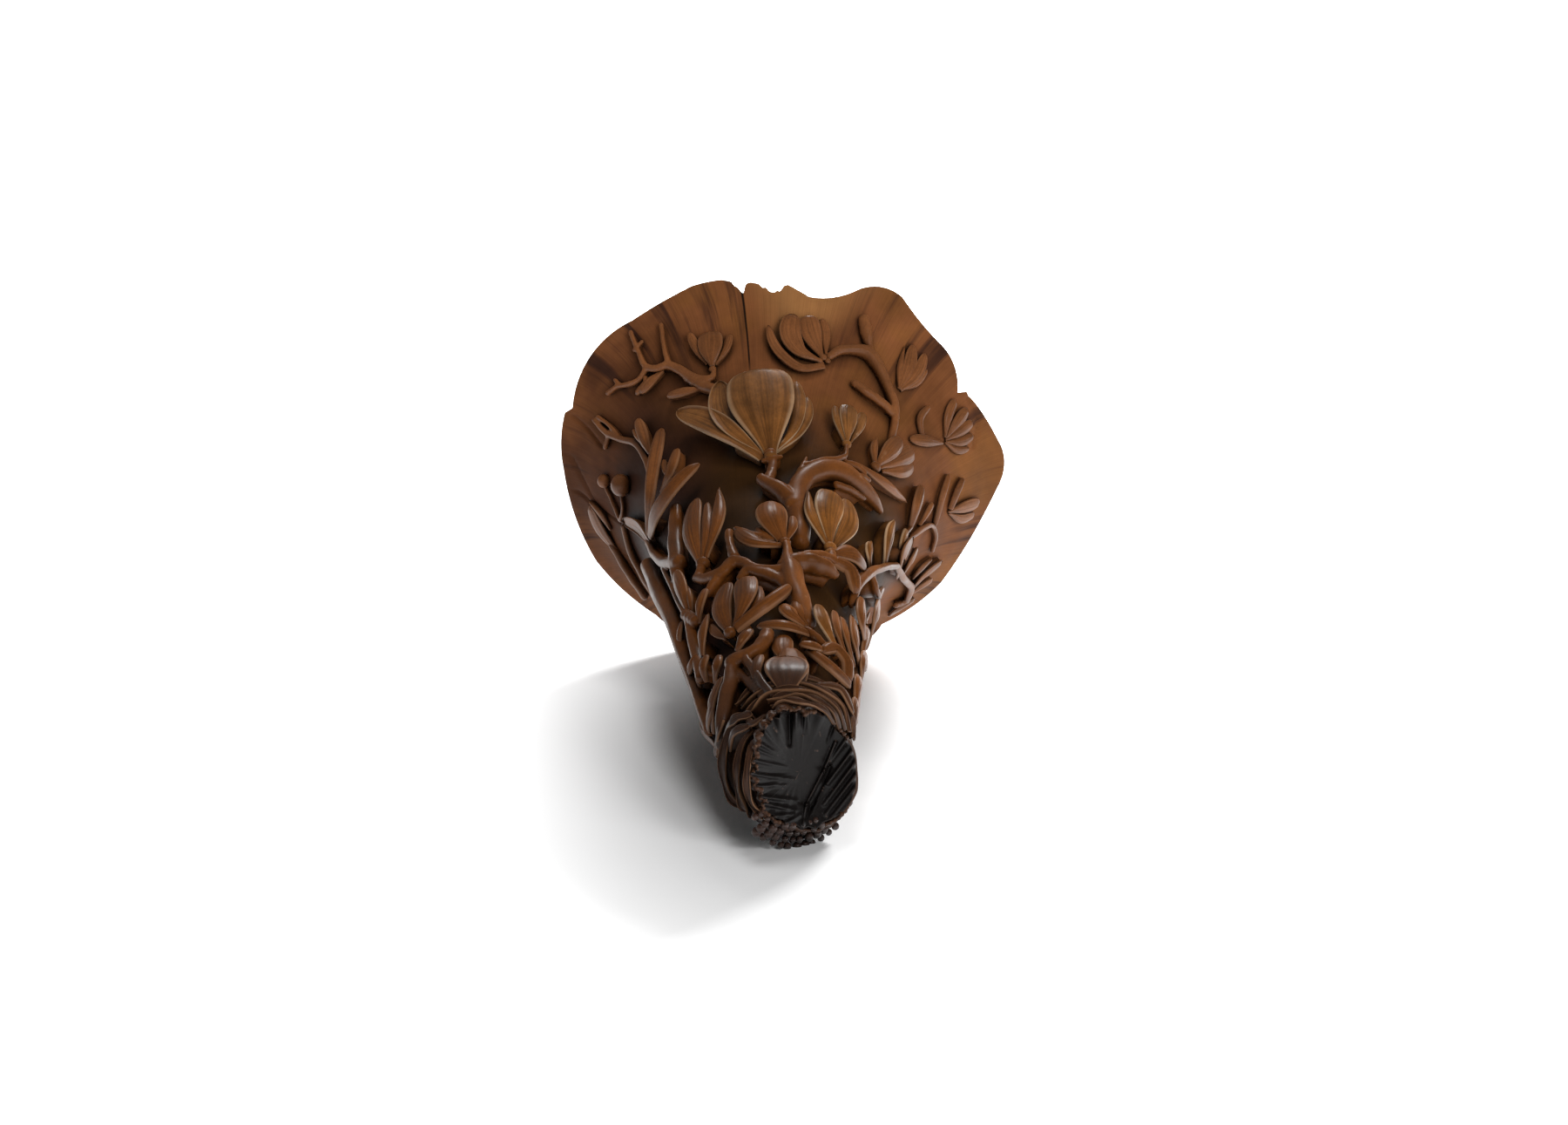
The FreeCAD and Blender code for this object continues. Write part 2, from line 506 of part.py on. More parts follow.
def add_solid(doc, label, shape):
    """A carved piece whose shape follows the horn."""
    piece = doc.addObject("Part::Feature", label)
    piece.Shape = shape
    piece.Placement = Placement()
    return piece


def raised_piece(horn, places, wide, tall, free, petals, outline, sheet):
    """A leaf or blossom from its row of shares."""
    route = [horn.spot(*place)[0] for place in places]
    width = horn.width_at(places[len(places) // 2][0]) * wide
    return ridge_solid(horn, route, width, sheet.relief_height * tall, sheet.relief_height * free, petals,
                       outline, sheet)


def add_leaves(doc, sheet, horn):
    """The single petals and leaves."""
    pieces = []
    for label, (places, wide, tall, free) in LEAF_SHARES.items():
        pieces.append(add_solid(doc, label, raised_piece(horn, places, wide, tall, free, 1,
                                                         LEAF_OUTLINE_SHARES, sheet)))
    return pieces


def add_blossoms(doc, sheet, horn):
    """The fluted blossoms."""
    pieces = []
    for label, (places, wide, tall, free, petals) in BLOOM_SHARES.items():
        pieces.append(add_solid(doc, label, raised_piece(horn, places, wide, tall, free, petals,
                                                         BLOOM_OUTLINE_SHARES, sheet)))
    return pieces


def add_branches(doc, sheet, horn):
    """The branches, each with its limbs grown together."""
    pieces = []
    for label, limbs in BRANCH_SHARES.items():
        solids = []
        for places, thick, rise in limbs:
            lift = sheet.relief_height * rise
            solids.append(branch_solid(horn, [horn.spot(*place)[0] for place in places],
                                       sheet.branch_width * thick, lift if solids else 0, lift, sheet))
        shape = solids[0].fuse(solids[1:]) if len(solids) > 1 else solids[0]
        pieces.append(add_solid(doc, label, shape))
    return pieces


def add_berries(doc, sheet, horn):
    """The pair of berries on the left of the mouth."""
    berries = []
    for name, (place, clock, wide) in BERRY_SHARES.items():
        point, off = horn.spot(place, clock)
        berry = doc.addObject("Part::Sphere", f"{name}_berry")
        berry.setExpression("Radius", f"Sizes.berry_width * {wide} / 2")
        berry.Placement = Placement(point + off * (sheet.berry_width * wide / 2 + sheet.seat_gap), Rotation())
        berries.append(berry)
    pair = doc.addObject("Part::Compound", "left_berries")
    pair.Links = berries
    return pair


def add_tip_leaf(doc, sheet, horn):
    """The folded leaf over the end of the horn, and the rolled edge round it."""
    centre, half_width, _, _, turn = horn.station("tip")
    cap = CapPlane(centre, turn)
    thickness = sheet.branch_width * ROLLED_EDGE_SHARE
    reach = half_width - thickness * 3 / 2 - sheet.seat_gap
    top, bottom = cap.at(TIP_LEAF_LEAN, reach), cap.at(TIP_LEAF_LEAN, -reach)
    shape = ridge_solid(cap, [top, centre, bottom], 2 * reach, sheet.relief_height, 0, 2,
                        TIP_LEAF_OUTLINE_SHARES, sheet)
    leaf = add_solid(doc, "tip_leaf", shape)
    route = [cap.at(clock, half_width - thickness) for clock in ROLLED_EDGE_CLOCKS]
    edge = add_solid(doc, "tip_rolled_edge", branch_solid(cap, route, thickness, 0, 0, sheet))
    return [leaf, edge]


def add_seed_cluster(doc, sheet, horn):
    """The seeds packed under the tip, worn flat where they rest."""
    route = [horn.spot(*place)[0] for place in SEED_ROUTE_SHARES]
    depth = (sheet.tip_clearance - sheet.seat_gap) * SEED_DEPTH_SHARE
    packed = add_solid(doc, "packed_seeds", ridge_solid(horn, route, sheet.tip_width * SEED_WIDTH_SHARE, depth,
                                                        0, SEED_COUNT, SEED_OUTLINE_SHARES, sheet))
    cluster = doc.addObject("Part::Cut", "seed_cluster")
    cluster.Base, cluster.Tool = packed, add_table_block(doc, "table_under_seeds")
    return cluster


def check(doc, pieces):
    """Stops if an object failed or a piece has no sound solid."""
    failed = [o.Label for o in doc.Objects if "Invalid" in o.State or "Error" in o.State]
    unsound = [p.Label for p in pieces if p.Shape.isNull() or not p.Shape.isValid() or not p.Shape.Solids]
    if failed or unsound:
        raise RuntimeError(f"failed: {failed}, unsound: {unsound}")


def main():
    """Builds the document and writes one file for each piece."""
    doc = FreeCAD.newDocument("carved_horn_cup")
    sheet = fill_sheet(doc)
    blank, face = add_horn_blank(doc)
    horn = Horn(sheet, face)
    pieces = [add_horn_body(doc, sheet, blank, horn)]
    pieces += add_leaves(doc, sheet, horn)
    pieces += add_blossoms(doc, sheet, horn)
    pieces += add_branches(doc, sheet, horn)
    pieces.append(add_berries(doc, sheet, horn))
    pieces += add_tip_leaf(doc, sheet, horn)
    pieces.append(add_seed_cluster(doc, sheet, horn))
    doc.recompute()
    check(doc, pieces)
    os.makedirs("parts", exist_ok=True)
    for piece in pieces:
        piece.Shape.exportStep(f"parts/{piece.Label}.step")


main()
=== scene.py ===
"""A carved horn cup lying at rest, dressed for the photograph.

The cup is one whole horn, hollowed from its flared mouth and carved round with magnolia, bamboo, branches
and a folded leaf on its tip. Lengths are millimetres until a mesh is made. A carved piece that the
photograph shows is placed by its pixels, across and down, and by its lift off the horn, and one that it
doesn't show by a place on the horn: a share of its length, 0 at the mouth and 1 at the tip, and a clock
angle in degrees seen from the tip, 0 on top and 90 on the right.
"""

import logging
import math
from dataclasses import dataclass, field
from enum import Enum
from functools import partial
from typing import Callable, Sequence

import bpy
import numpy as np
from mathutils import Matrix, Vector
from mathutils.bvhtree import BVHTree


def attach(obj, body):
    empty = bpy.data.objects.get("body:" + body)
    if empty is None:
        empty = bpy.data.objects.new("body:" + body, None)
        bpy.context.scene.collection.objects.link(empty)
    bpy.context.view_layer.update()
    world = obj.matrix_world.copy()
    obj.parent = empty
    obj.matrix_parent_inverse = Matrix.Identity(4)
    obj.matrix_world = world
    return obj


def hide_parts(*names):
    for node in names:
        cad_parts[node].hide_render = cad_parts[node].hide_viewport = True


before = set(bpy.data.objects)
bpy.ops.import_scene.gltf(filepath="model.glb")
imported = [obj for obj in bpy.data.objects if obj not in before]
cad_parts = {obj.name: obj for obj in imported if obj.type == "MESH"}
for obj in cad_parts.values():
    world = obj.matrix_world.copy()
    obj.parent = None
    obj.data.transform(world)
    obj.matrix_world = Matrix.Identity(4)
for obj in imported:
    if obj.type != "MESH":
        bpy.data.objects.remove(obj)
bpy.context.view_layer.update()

log = logging.getLogger("carved_horn_cup")

MM = 0.001
BODY = "root"
GRAIN = "grain"  # across, along and the piece's number on the relief; the clock's sine and cosine on the horn
HOLLOW = "hollow"  # 1 on the inside of the horn
HORN_IOR = 1.54
WEB_ROOT = 1.9  # how far the web under a piece reaches into the horn, in millimetres
WEB_HEIGHT = 5.5  # how clear of the horn a piece may stand and still be carried by a web
PETAL_WEB, LIMB_WEB = 0.3, 0.5  # a web's width, as a share of its petal's and of its limb's
LIMB_CAP = ((0.94, 0.35), (0.72, 0.68), (0.38, 0.9))  # a limb's round end: its size, and how far out, in radii
WHITE = (1.0, 1.0, 1.0, 1.0)
SMOOTH = {"interpolation_type": "SMOOTHSTEP"}
COLOUR = {"data_type": "RGBA"}
TIMES = {"operation": "MULTIPLY"}

Spot = tuple[float, float, float]
WideSpot = tuple[float, float, float, float]  # a spot and a width


class Slot(Enum):
    """The record's material slots."""

    HORN = "horn"
    HONEY = "honey_horn"
    DARK = "dark_horn"


class Outline(Enum):
    """How a petal or leaf swells along its length: share at its base, place of its widest, tip power, tip root."""

    SPOON = (0.22, 0.66, 2.2, 2.0)
    ROUND = (0.35, 0.55, 2.2, 2.0)
    BLADE = (0.30, 0.45, 1.7, 1.0)
    STRAP = (0.75, 0.45, 3.0, 2.0)
    FAN = (0.20, 0.66, 3.6, 2.0)


SPOON, ROUND, BLADE, STRAP, FAN = Outline

class Anchor(Enum):
    """What the points of a spine mean."""

    PHOTO = "pixels across and down, and the lift"
    HORN = "place, clock angle and the lift"


@dataclass(frozen=True)
class PhotoCamera:
    """The camera of the photograph, worked out from the outline of the mouth, the tip and the table."""

    back: float = -1459.5
    height: float = 347.0
    pitch: float = 11.0
    focal: float = 4867.0  # pixels
    across: float = 1800.0
    down: float = 1291.0
    sensor: float = 36.0

    def eye(self) -> Vector:
        """Where the camera stands."""
        return Vector((0.0, self.back, self.height))

    def ray(self, across: float, down: float) -> Vector:
        """The direction through a pixel of the photograph.

        Args:
            across: pixels from the left edge.
            down: pixels from the top edge.

        Returns:
            A direction of length 1.
        """
        tilt = math.radians(self.pitch)
        ahead = Vector((0.0, math.cos(tilt), -math.sin(tilt)))
        up = Vector((0.0, math.sin(tilt), math.cos(tilt)))
        side = Vector((1.0, 0.0, 0.0))
        right, low = (across - self.across / 2) / self.focal, (down - self.down / 2) / self.focal
        return (ahead + side * right - up * low).normalized()

    def per_mm(self, point: Vector) -> float:
        """Pixels that a millimetre takes up at a point."""
        return self.focal / (point - self.eye()).length

    def build(self) -> bpy.types.Object:
        """Makes the scene's camera.

        Returns:
            The camera object.
        """
        data = bpy.data.cameras.new("photo_camera")
        data.sensor_width = self.sensor
        data.lens = self.focal / self.across * self.sensor
        data.clip_start, data.clip_end = 0.05, 60.0
        camera = bpy.data.objects.new("photo_camera", data)
        bpy.context.scene.collection.objects.link(camera)
        camera.location = self.eye() * MM
        camera.rotation_euler = (math.radians(90.0 - self.pitch), 0.0, 0.0)
        bpy.context.scene.camera = camera
        return camera


def flow(knots: np.ndarray, values: np.ndarray, at: np.ndarray) -> np.ndarray:
    """Smooth values between knots, by cubic pieces whose slopes come from both neighbours.

    Args:
        knots: rising positions.
        values: a row of values for each knot.
        at: positions to read.

    Returns:
        A row of values for each position.
    """
    slopes = np.gradient(values, knots, axis=0)
    index = np.clip(np.searchsorted(knots, at, side="right") - 1, 0, len(knots) - 2)
    span = (knots[index + 1] - knots[index])[..., None]
    share = ((at - knots[index]) / span[..., 0])[..., None]
    square, cube = share ** 2, share ** 3
    return ((2 * cube - 3 * square + 1) * values[index] + (cube - 2 * square + share) * span * slopes[index]
            + (3 * square - 2 * cube) * values[index + 1] + (cube - square) * span * slopes[index + 1])


def route(points: np.ndarray, at: np.ndarray) -> np.ndarray:
    """A smooth route through points.

    Args:
        points: two or more rows, whose first three columns are a place.
        at: shares of the route's length, 0 to 1.

    Returns:
        A row for each share.
    """
    steps = np.linalg.norm(np.diff(points[:, :3], axis=0), axis=1)
    knots = np.concatenate(([0.0], np.cumsum(steps)))
    knots /= knots[-1]
    if len(points) == 2:
        return points[0] + (points[1] - points[0]) * at[:, None]
    return flow(knots, points, at)


def unit(rows: np.ndarray) -> np.ndarray:
    """Rows scaled to length 1."""
    return rows / np.maximum(np.linalg.norm(rows, axis=-1, keepdims=True), 1e-9)


def bump(values: np.ndarray, centre: float, width: float) -> np.ndarray:
    """A smooth bump of height 1 round a centre."""
    return np.exp(-(((values - centre) / width) ** 2))


class Clay:
    """Vertices, faces and grain of a piece in the making, in millimetres."""

    def __init__(self) -> None:
        """Starts with nothing."""
        self.points: list[np.ndarray] = []
        self.grain: list[np.ndarray] = []
        self.faces: list[tuple[int, ...]] = []
        self.count = 0

    def add(self, points: np.ndarray, grain: np.ndarray, faces: list[tuple[int, ...]]) -> None:
        """Adds vertices with their grain, and faces numbered from the first of them.

        Args:
            points: rows of places.
            grain: rows of across, along and a number for the piece.
            faces: tuples of vertex numbers.
        """
        self.points.append(points.reshape(-1, 3))
        self.grain.append(grain.reshape(-1, 3))
        self.faces.extend(tuple(i + self.count for i in face) for face in faces)
        self.count += len(self.points[-1])

    def add_rings(self, rings: np.ndarray, grain: np.ndarray) -> None:
        """Adds a closed skin over rings of points, with both ends shut.

        Args:
            rings: ring by ring, point by point, places.
            grain: the same for the grain.
        """
        count, around = rings.shape[:2]
        faces = []
        for ring in range(count - 1):
            low, high = ring * around, (ring + 1) * around
            faces += [(low + i, low + (i + 1) % around, high + (i + 1) % around, high + i)
                      for i in range(around)]
        start, end = count * around, count * around + 1
        last = (count - 1) * around
        faces += [(start, (i + 1) % around, i) for i in range(around)]
        faces += [(end, last + i, last + (i + 1) % around) for i in range(around)]
        points = np.concatenate((rings.reshape(-1, 3), rings[0].mean(0)[None], rings[-1].mean(0)[None]))
        shades = np.concatenate((grain.reshape(-1, 3), grain[0].mean(0)[None], grain[-1].mean(0)[None]))
        self.add(points, shades, faces)

    def fire(self, name: str) -> bpy.types.Object:
        """Makes the Blender object.

        Args:
            name: its name.

        Returns:
            A smooth-shaded object at the origin, in metres.
        """
        mesh = bpy.data.meshes.new(name)
        points = np.concatenate(self.points) * MM
        mesh.from_pydata(points.tolist(), [], self.faces)
        layer = mesh.attributes.new(GRAIN, "FLOAT_VECTOR", "POINT")
        layer.data.foreach_set("vector", np.concatenate(self.grain).astype(np.float32).ravel())
        mesh.shade_smooth()
        thing = bpy.data.objects.new(name, mesh)
        bpy.context.scene.collection.objects.link(thing)
        return thing


def melt(thing: bpy.types.Object, voxel: float, rounds: int) -> None:
    """Melts the limbs of a piece into one skin with soft joints.

    Args:
        thing: the object, changed in place.
        voxel: size of the new faces, in millimetres.
        rounds: how often the skin is smoothed.
    """
    remesh = thing.modifiers.new("melt", "REMESH")
    remesh.mode = "VOXEL"
    remesh.voxel_size = voxel * MM
    soften = thing.modifiers.new("soften", "SMOOTH")
    soften.factor, soften.iterations = 0.5, rounds
    evaluated = thing.evaluated_get(bpy.context.evaluated_depsgraph_get())
    mesh = bpy.data.meshes.new_from_object(evaluated)
    thing.modifiers.clear()
    thing.data = mesh
    mesh.shade_smooth()


@dataclass(frozen=True)
class Petal:
    """A petal, leaf or other thin curved blade.

    The spine runs from its base to its tip. Its width is in pixels of the photograph, or in millimetres
    where the spine is given by places on the horn. The crown is how far its middle stands up, as a share
    of its half width, the vee the same for a fold along its middle, and the lip a raised edge and the
    crease a cut vein in millimetres.
    """

    spine: tuple[Spot, ...]
    width: float
    outline: Outline = SPOON
    crown: float = 0.25
    vee: float = 0.0
    lip: float = 0.0
    thick: float = 1.4
    roll: float = 0.0
    face: float = 0.0
    wave: float = 0.0
    crease: float = 0.3
    crease_at: float = 0.0  # share of the half width


@dataclass
class Ground:
    """The horn's outside, which carries the carving."""

    camera: PhotoCamera
    horn: "HornBody"
    slack: float = 2.5  # a ray that misses the horn by less than this is taken to touch it
    near: float = 1150.0  # the horn lies between these distances from the camera, in millimetres
    far: float = 1800.0
    touching: float = 0.03  # a gap that counts as none
    tree: BVHTree = field(init=False)

    def __post_init__(self) -> None:
        """Reads the horn's own surface into a search tree."""
        places, clocks = np.linspace(-0.02, 1.0, 170), np.linspace(0.0, 360.0, 241)[:-1]
        grid = self.horn.outside(*np.meshgrid(places, clocks, indexing="ij"))
        around = len(clocks)
        points = [Vector(p) for p in grid.reshape(-1, 3).tolist()]
        faces = [(r * around + i, (r + 1) * around + i, (r + 1) * around + (i + 1) % around,
                  r * around + (i + 1) % around) for r in range(len(places) - 1) for i in range(around)]
        last = (len(places) - 1) * around
        points.append(Vector(grid[-1].mean(0).tolist()))
        faces += [(last + i, len(points) - 1, last + (i + 1) % around) for i in range(around)]
        self.tree = BVHTree.FromPolygons(points, faces)

    def off(self, point: Vector) -> tuple[Vector, Vector, float]:
        """The nearest point of the horn.

        Args:
            point: any place.

        Returns:
            The nearest point, the direction straight off the horn there, and the distance.
        """
        spot, normal, _, distance = self.tree.find_nearest(point)
        away = point - spot
        if distance > 0.05 and away.dot(normal) > 0:
            normal = away / distance
        return spot, normal, distance

    def touch(self, across: float, down: float, lift: float) -> tuple[Vector, Vector]:
        """Where the ray through a pixel comes as near to the horn as the lift says.

        Args:
            across: pixels from the photograph's left edge.
            down: pixels from its top edge.
            lift: distance off the horn.

        Returns:
            The point, and the direction straight off the horn.
        """
        eye, ray = self.camera.eye(), self.camera.ray(across, down)
        travel, best = self.near, (1e9, self.near)
        floor = max(lift, 0.0)
        while travel < self.far:
            _, _, distance = self.off(eye + ray * travel)
            gap = distance - floor
            best = min(best, (gap, travel))
            if gap < self.touching or best[0] < self.slack < gap:
                break
            travel += max(gap * 0.95, 0.03)
        spot, normal, _ = self.off(eye + ray * best[1])
        if best[0] > 0.1:
            return spot + normal * lift, normal
        return eye + ray * best[1] + normal * (lift - floor), normal

    def seat(self, place: float, clock: float, lift: float) -> tuple[Vector, Vector]:
        """The point over a place on the horn.

        Args:
            place: share of the horn's length.
            clock: angle seen from the tip.
            lift: distance off the horn.

        Returns:
            The point, and the direction straight off the horn.
        """
        point = Vector(self.horn.outside(np.array([place]), np.array([clock]))[0].tolist())
        spot, normal, _ = self.off(point)
        return spot + normal * lift, normal

    def spots(self, spine: Sequence[Sequence[float]], anchor: Anchor) -> tuple[np.ndarray, np.ndarray]:
        """Reads a spine.

        Args:
            spine: its points, of which the first three numbers count.
            anchor: what they mean.

        Returns:
            Rows of places, and rows of directions off the horn.
        """
        read = self.touch if anchor is Anchor.PHOTO else self.seat
        pairs = [read(*spot[:3]) for spot in spine]
        return np.array([p[:] for p, _ in pairs]), np.array([n[:] for _, n in pairs])


def carve_web(clay: Clay, ground: Ground, crest: np.ndarray, side: np.ndarray, half: np.ndarray,
              number: float) -> None:
    """Adds the narrow web of horn that carries a petal or a limb where it stands clear of the ground.

    Args:
        clay: what it is added to.
        ground: the horn that carries it.
        crest: rows of points under the middle of the piece, where the web ends.
        side: rows of directions across it.
        half: the web's half width at each.
        number: the piece's own number, for its grain.
    """
    angle = np.linspace(0.0, 2 * math.pi, 12, endpoint=False)[:, None]
    rings: list[np.ndarray] = []
    for top, across, reach in zip(crest, side, half):
        foot, normal, distance = ground.off(Vector(top.tolist()))
        if distance > WEB_HEIGHT:
            break
        low = np.array((foot - normal * WEB_ROOT)[:])
        wall = (top + low) / 2 + (top - low) / 2 * np.cos(angle)
        rings.append(wall + across * reach * np.sin(angle) * (1.1 - 0.2 * np.cos(angle)))
    if len(rings) > 1:
        grain = np.zeros((len(rings), len(angle), 3))
        grain[..., 2] = number
        clay.add_rings(np.array(rings), grain)


def carve_petal(clay: Clay, ground: Ground, petal: Petal, anchor: Anchor, number: float) -> None:
    """Adds one petal to the clay.

    Args:
        clay: what it is added to.
        ground: the horn that carries it.
        petal: its sizes.
        anchor: what its spine's points mean.
        number: a number of its own, for the grain.
    """
    places, normals = ground.spots(petal.spine, anchor)
    along, around = 34, 56
    share = (1 - np.cos(np.linspace(0.0, math.pi, along))) / 2
    middle = route(np.concatenate((places, normals), axis=1), share)
    centre, up = middle[:, :3], unit(middle[:, 3:])
    if petal.face:
        up = unit(up * (1 - petal.face) + unit(np.array(ground.camera.eye()[:]) - centre) * petal.face)
    ahead = unit(np.gradient(centre, axis=0))
    up = unit(up - ahead * (up * ahead).sum(1, keepdims=True))
    side = np.cross(ahead, up)
    turn = math.radians(petal.roll)
    side, up = side * math.cos(turn) + up * math.sin(turn), up * math.cos(turn) - side * math.sin(turn)
    scale = ground.camera.per_mm(Vector(centre.mean(0).tolist())) if anchor is Anchor.PHOTO else 1.0
    base, widest, power, root = petal.outline.value
    rise = base + (1 - base) * np.sin(np.clip(share / widest, 0, 1) * math.pi / 2) ** 1.3
    past = np.clip((share - widest) / (1 - widest), 0, 1)
    half = petal.width / scale / 2 * np.where(share < widest, rise, (1 - past ** power * 0.999) ** (1 / root))
    angle = np.linspace(0.0, 2 * math.pi, around, endpoint=False)
    over = np.sign(np.cos(angle)) * np.abs(np.cos(angle)) ** 0.85
    depth = np.sign(np.sin(angle)) * np.abs(np.sin(angle)) ** 0.6
    s, t = over[None, :], share[:, None]
    wide = half[:, None]
    ends = np.clip(np.minimum((1 - t) / 0.08, (t + 0.06) / 0.1), 0.3, 1.0)
    height = petal.crown * wide * (1 - s ** 2) + petal.vee * wide * (np.abs(s) - 1)
    height += petal.lip * bump(np.abs(s), 0.94, 0.12) * np.sin(np.clip(t * 1.2, 0, 1) * math.pi / 2)
    height += petal.wave * np.cos(t * 17.0 + s * 1.5 + number * 7) * np.abs(s) ** 2 * t
    skin = np.where(depth[None, :] > 0, 1.0, 0.0)
    veins = 0.06 * np.cos(s * 16.0 + number * 5) * np.clip(1 - np.abs(s), 0, 1) * np.clip(t * 3, 0, 1)
    veins = veins - petal.crease * bump(s, petal.crease_at * (1 - t), 0.1) * np.clip(1.25 - t * 1.3, 0, 1)
    height = height + skin * veins * np.minimum(wide / 4, 1)
    thickness = petal.thick / 2 * depth[None, :] * ends
    rings = (centre[:, None, :] + side[:, None, :] * (wide * s)[..., None]
             + up[:, None, :] * (height + thickness)[..., None])
    grain = np.stack(np.broadcast_arrays(s, t, np.full_like(t, number)), axis=-1)
    clay.add_rings(rings[:, ::-1], grain[:, ::-1])
    crest = centre + up * ((petal.crown - petal.vee) * half - petal.thick * 0.3)[:, None]
    held = slice(3, along - 3, 3)
    carve_web(clay, ground, crest[held], side[held], half[held] * PETAL_WEB, number)


def carve_limb(clay: Clay, ground: Ground, spine: Sequence[WideSpot], anchor: Anchor, number: float) -> None:
    """Adds one round limb to the clay.

    Args:
        clay: what it is added to.
        ground: the horn that carries it.
        spine: its points, each with the lift of its middle and its width.
        anchor: what they mean.
        number: a number of its own, for its unevenness.
    """
    places, normals = ground.spots(spine, anchor)
    widths = np.array([[spot[3]] for spot in spine])
    scale = ground.camera.per_mm(Vector(places.mean(0).tolist())) if anchor is Anchor.PHOTO else 1.0
    count = max(10, 7 * len(places))
    share = np.linspace(0.0, 1.0, count)
    middle = route(np.concatenate((places, normals, widths / scale / 2), axis=1), share)
    centre, up, radius = middle[:, :3], middle[:, 3:6], middle[:, 6:7]
    ahead = unit(np.gradient(centre, axis=0))
    up = unit(up - ahead * (up * ahead).sum(1, keepdims=True))
    side = np.cross(ahead, up)
    angle = np.linspace(0.0, 2 * math.pi, 20, endpoint=False)[None, :]
    ridge = 1 + 0.05 * np.cos(3 * angle + number) + 0.05 * np.sin(share[:, None] * 19 + number * 3 + angle)
    reach = radius * ridge
    rings = (centre[:, None, :] + side[:, None, :] * (reach * np.cos(angle))[..., None]
             + up[:, None, :] * (reach * np.sin(angle))[..., None])
    caps = []
    for end, sign in ((0, -1), (-1, 1)):
        for size, out in LIMB_CAP:
            caps.append((end, centre[end] + (rings[end] - centre[end]) * size
                         + ahead[end] * sign * radius[end] * out))
    first = [ring for end, ring in caps if end == 0][::-1]
    last = [ring for end, ring in caps if end == -1]
    rings = np.concatenate((np.array(first), rings, np.array(last)))
    grain = np.zeros_like(rings)
    grain[..., 1] = np.linspace(0.0, 1.0, len(rings))[:, None]
    grain[..., 2] = number
    clay.add_rings(rings, grain)
    held = slice(1, -1, 2)
    carve_web(clay, ground, (centre - up * radius * 0.3)[held], side[held], radius[held, 0] * LIMB_WEB, number)


def carve_ball(clay: Clay, centre: Vector, up: Vector, radius: float, squash: float, number: float) -> None:
    """Adds a rounded bead to the clay.

    Args:
        clay: what it is added to.
        centre: its middle.
        up: the direction that it is squashed in.
        radius: its radius square to that.
        squash: its height as a share of its width.
        number: a number of its own.
    """
    axis = np.array(up.normalized()[:])
    side = unit(np.cross(axis, (0.3, 0.5, 0.8)))
    other = np.cross(axis, side)
    polar = np.linspace(0.04, math.pi - 0.04, 12)[:, None]
    angle = np.linspace(0.0, 2 * math.pi, 18, endpoint=False)[None, :]
    flat = (np.sin(polar) * np.cos(angle))[..., None] * side + (np.sin(polar) * np.sin(angle))[..., None] * other
    rings = np.array(centre[:]) + radius * (flat - (np.cos(polar) * squash + 0 * angle)[..., None] * axis)
    grain = np.zeros_like(rings)
    grain[..., 2] = number
    clay.add_rings(rings, grain)


def add_node(tree: bpy.types.NodeTree, kind: str, settings: dict[str, object] | None = None,
             inputs: Sequence[object] | dict[str | int, object] = (),
             out: str | int = 0) -> bpy.types.NodeSocket | None:
    """Adds a node, sets it, and fills its inputs with values or with links from sockets.

    Args:
        tree: the material's nodes.
        kind: the node's type, without the prefix that all share.
        settings: its own settings.
        inputs: values or sockets for its first inputs in their order, or for some by name or number.
        out: the output that is wanted, by name or number.

    Returns:
        The socket of that output, or nothing if the node has none.
    """
    made = tree.nodes.new("ShaderNode" + kind)
    for key, value in (settings or {}).items():
        setattr(made, key, value)
    for key, value in inputs.items() if isinstance(inputs, dict) else enumerate(inputs):
        if isinstance(value, bpy.types.NodeSocket):
            tree.links.new(value, made.inputs[key])
        else:
            made.inputs[key].default_value = value
    return made.outputs[out] if made.outputs else None


def linear(code: str) -> tuple[float, float, float, float]:
    """Turns an sRGB hex colour into the linear colour that a shader takes.

    Args:
        code: six hex digits after a #.

    Returns:
        Red, green, blue and 1.
    """
    parts = [int(code[i:i + 2], 16) / 255 for i in (1, 3, 5)]
    red, green, blue = (p / 12.92 if p <= 0.04045 else ((p + 0.055) / 1.055) ** 2.4 for p in parts)
    return red, green, blue, 1.0


def blank_material(name: str) -> tuple[bpy.types.Material, Callable[..., bpy.types.NodeSocket]]:
    """A new material with no nodes yet.

    Args:
        name: its name.

    Returns:
        The material, and add_node for its own nodes.
    """
    material = bpy.data.materials.new(name)
    material.use_nodes = True
    material.node_tree.nodes.clear()
    return material, partial(add_node, material.node_tree)


def layered(add: Callable[..., bpy.types.NodeSocket], base: object,
            layers: Sequence[tuple[bpy.types.NodeSocket, object]]) -> object:
    """Lays colours over a base colour, one after another.

    Args:
        add: the material's add_node.
        base: a colour or a colour's socket.
        layers: each a share's socket, and a hex colour or a colour's socket.

    Returns:
        The last colour's socket.
    """
    for share, colour in layers:
        over = linear(colour) if isinstance(colour, str) else colour
        base = add("Mix", COLOUR, {0: share, 6: base, 7: over}, 2)
    return base


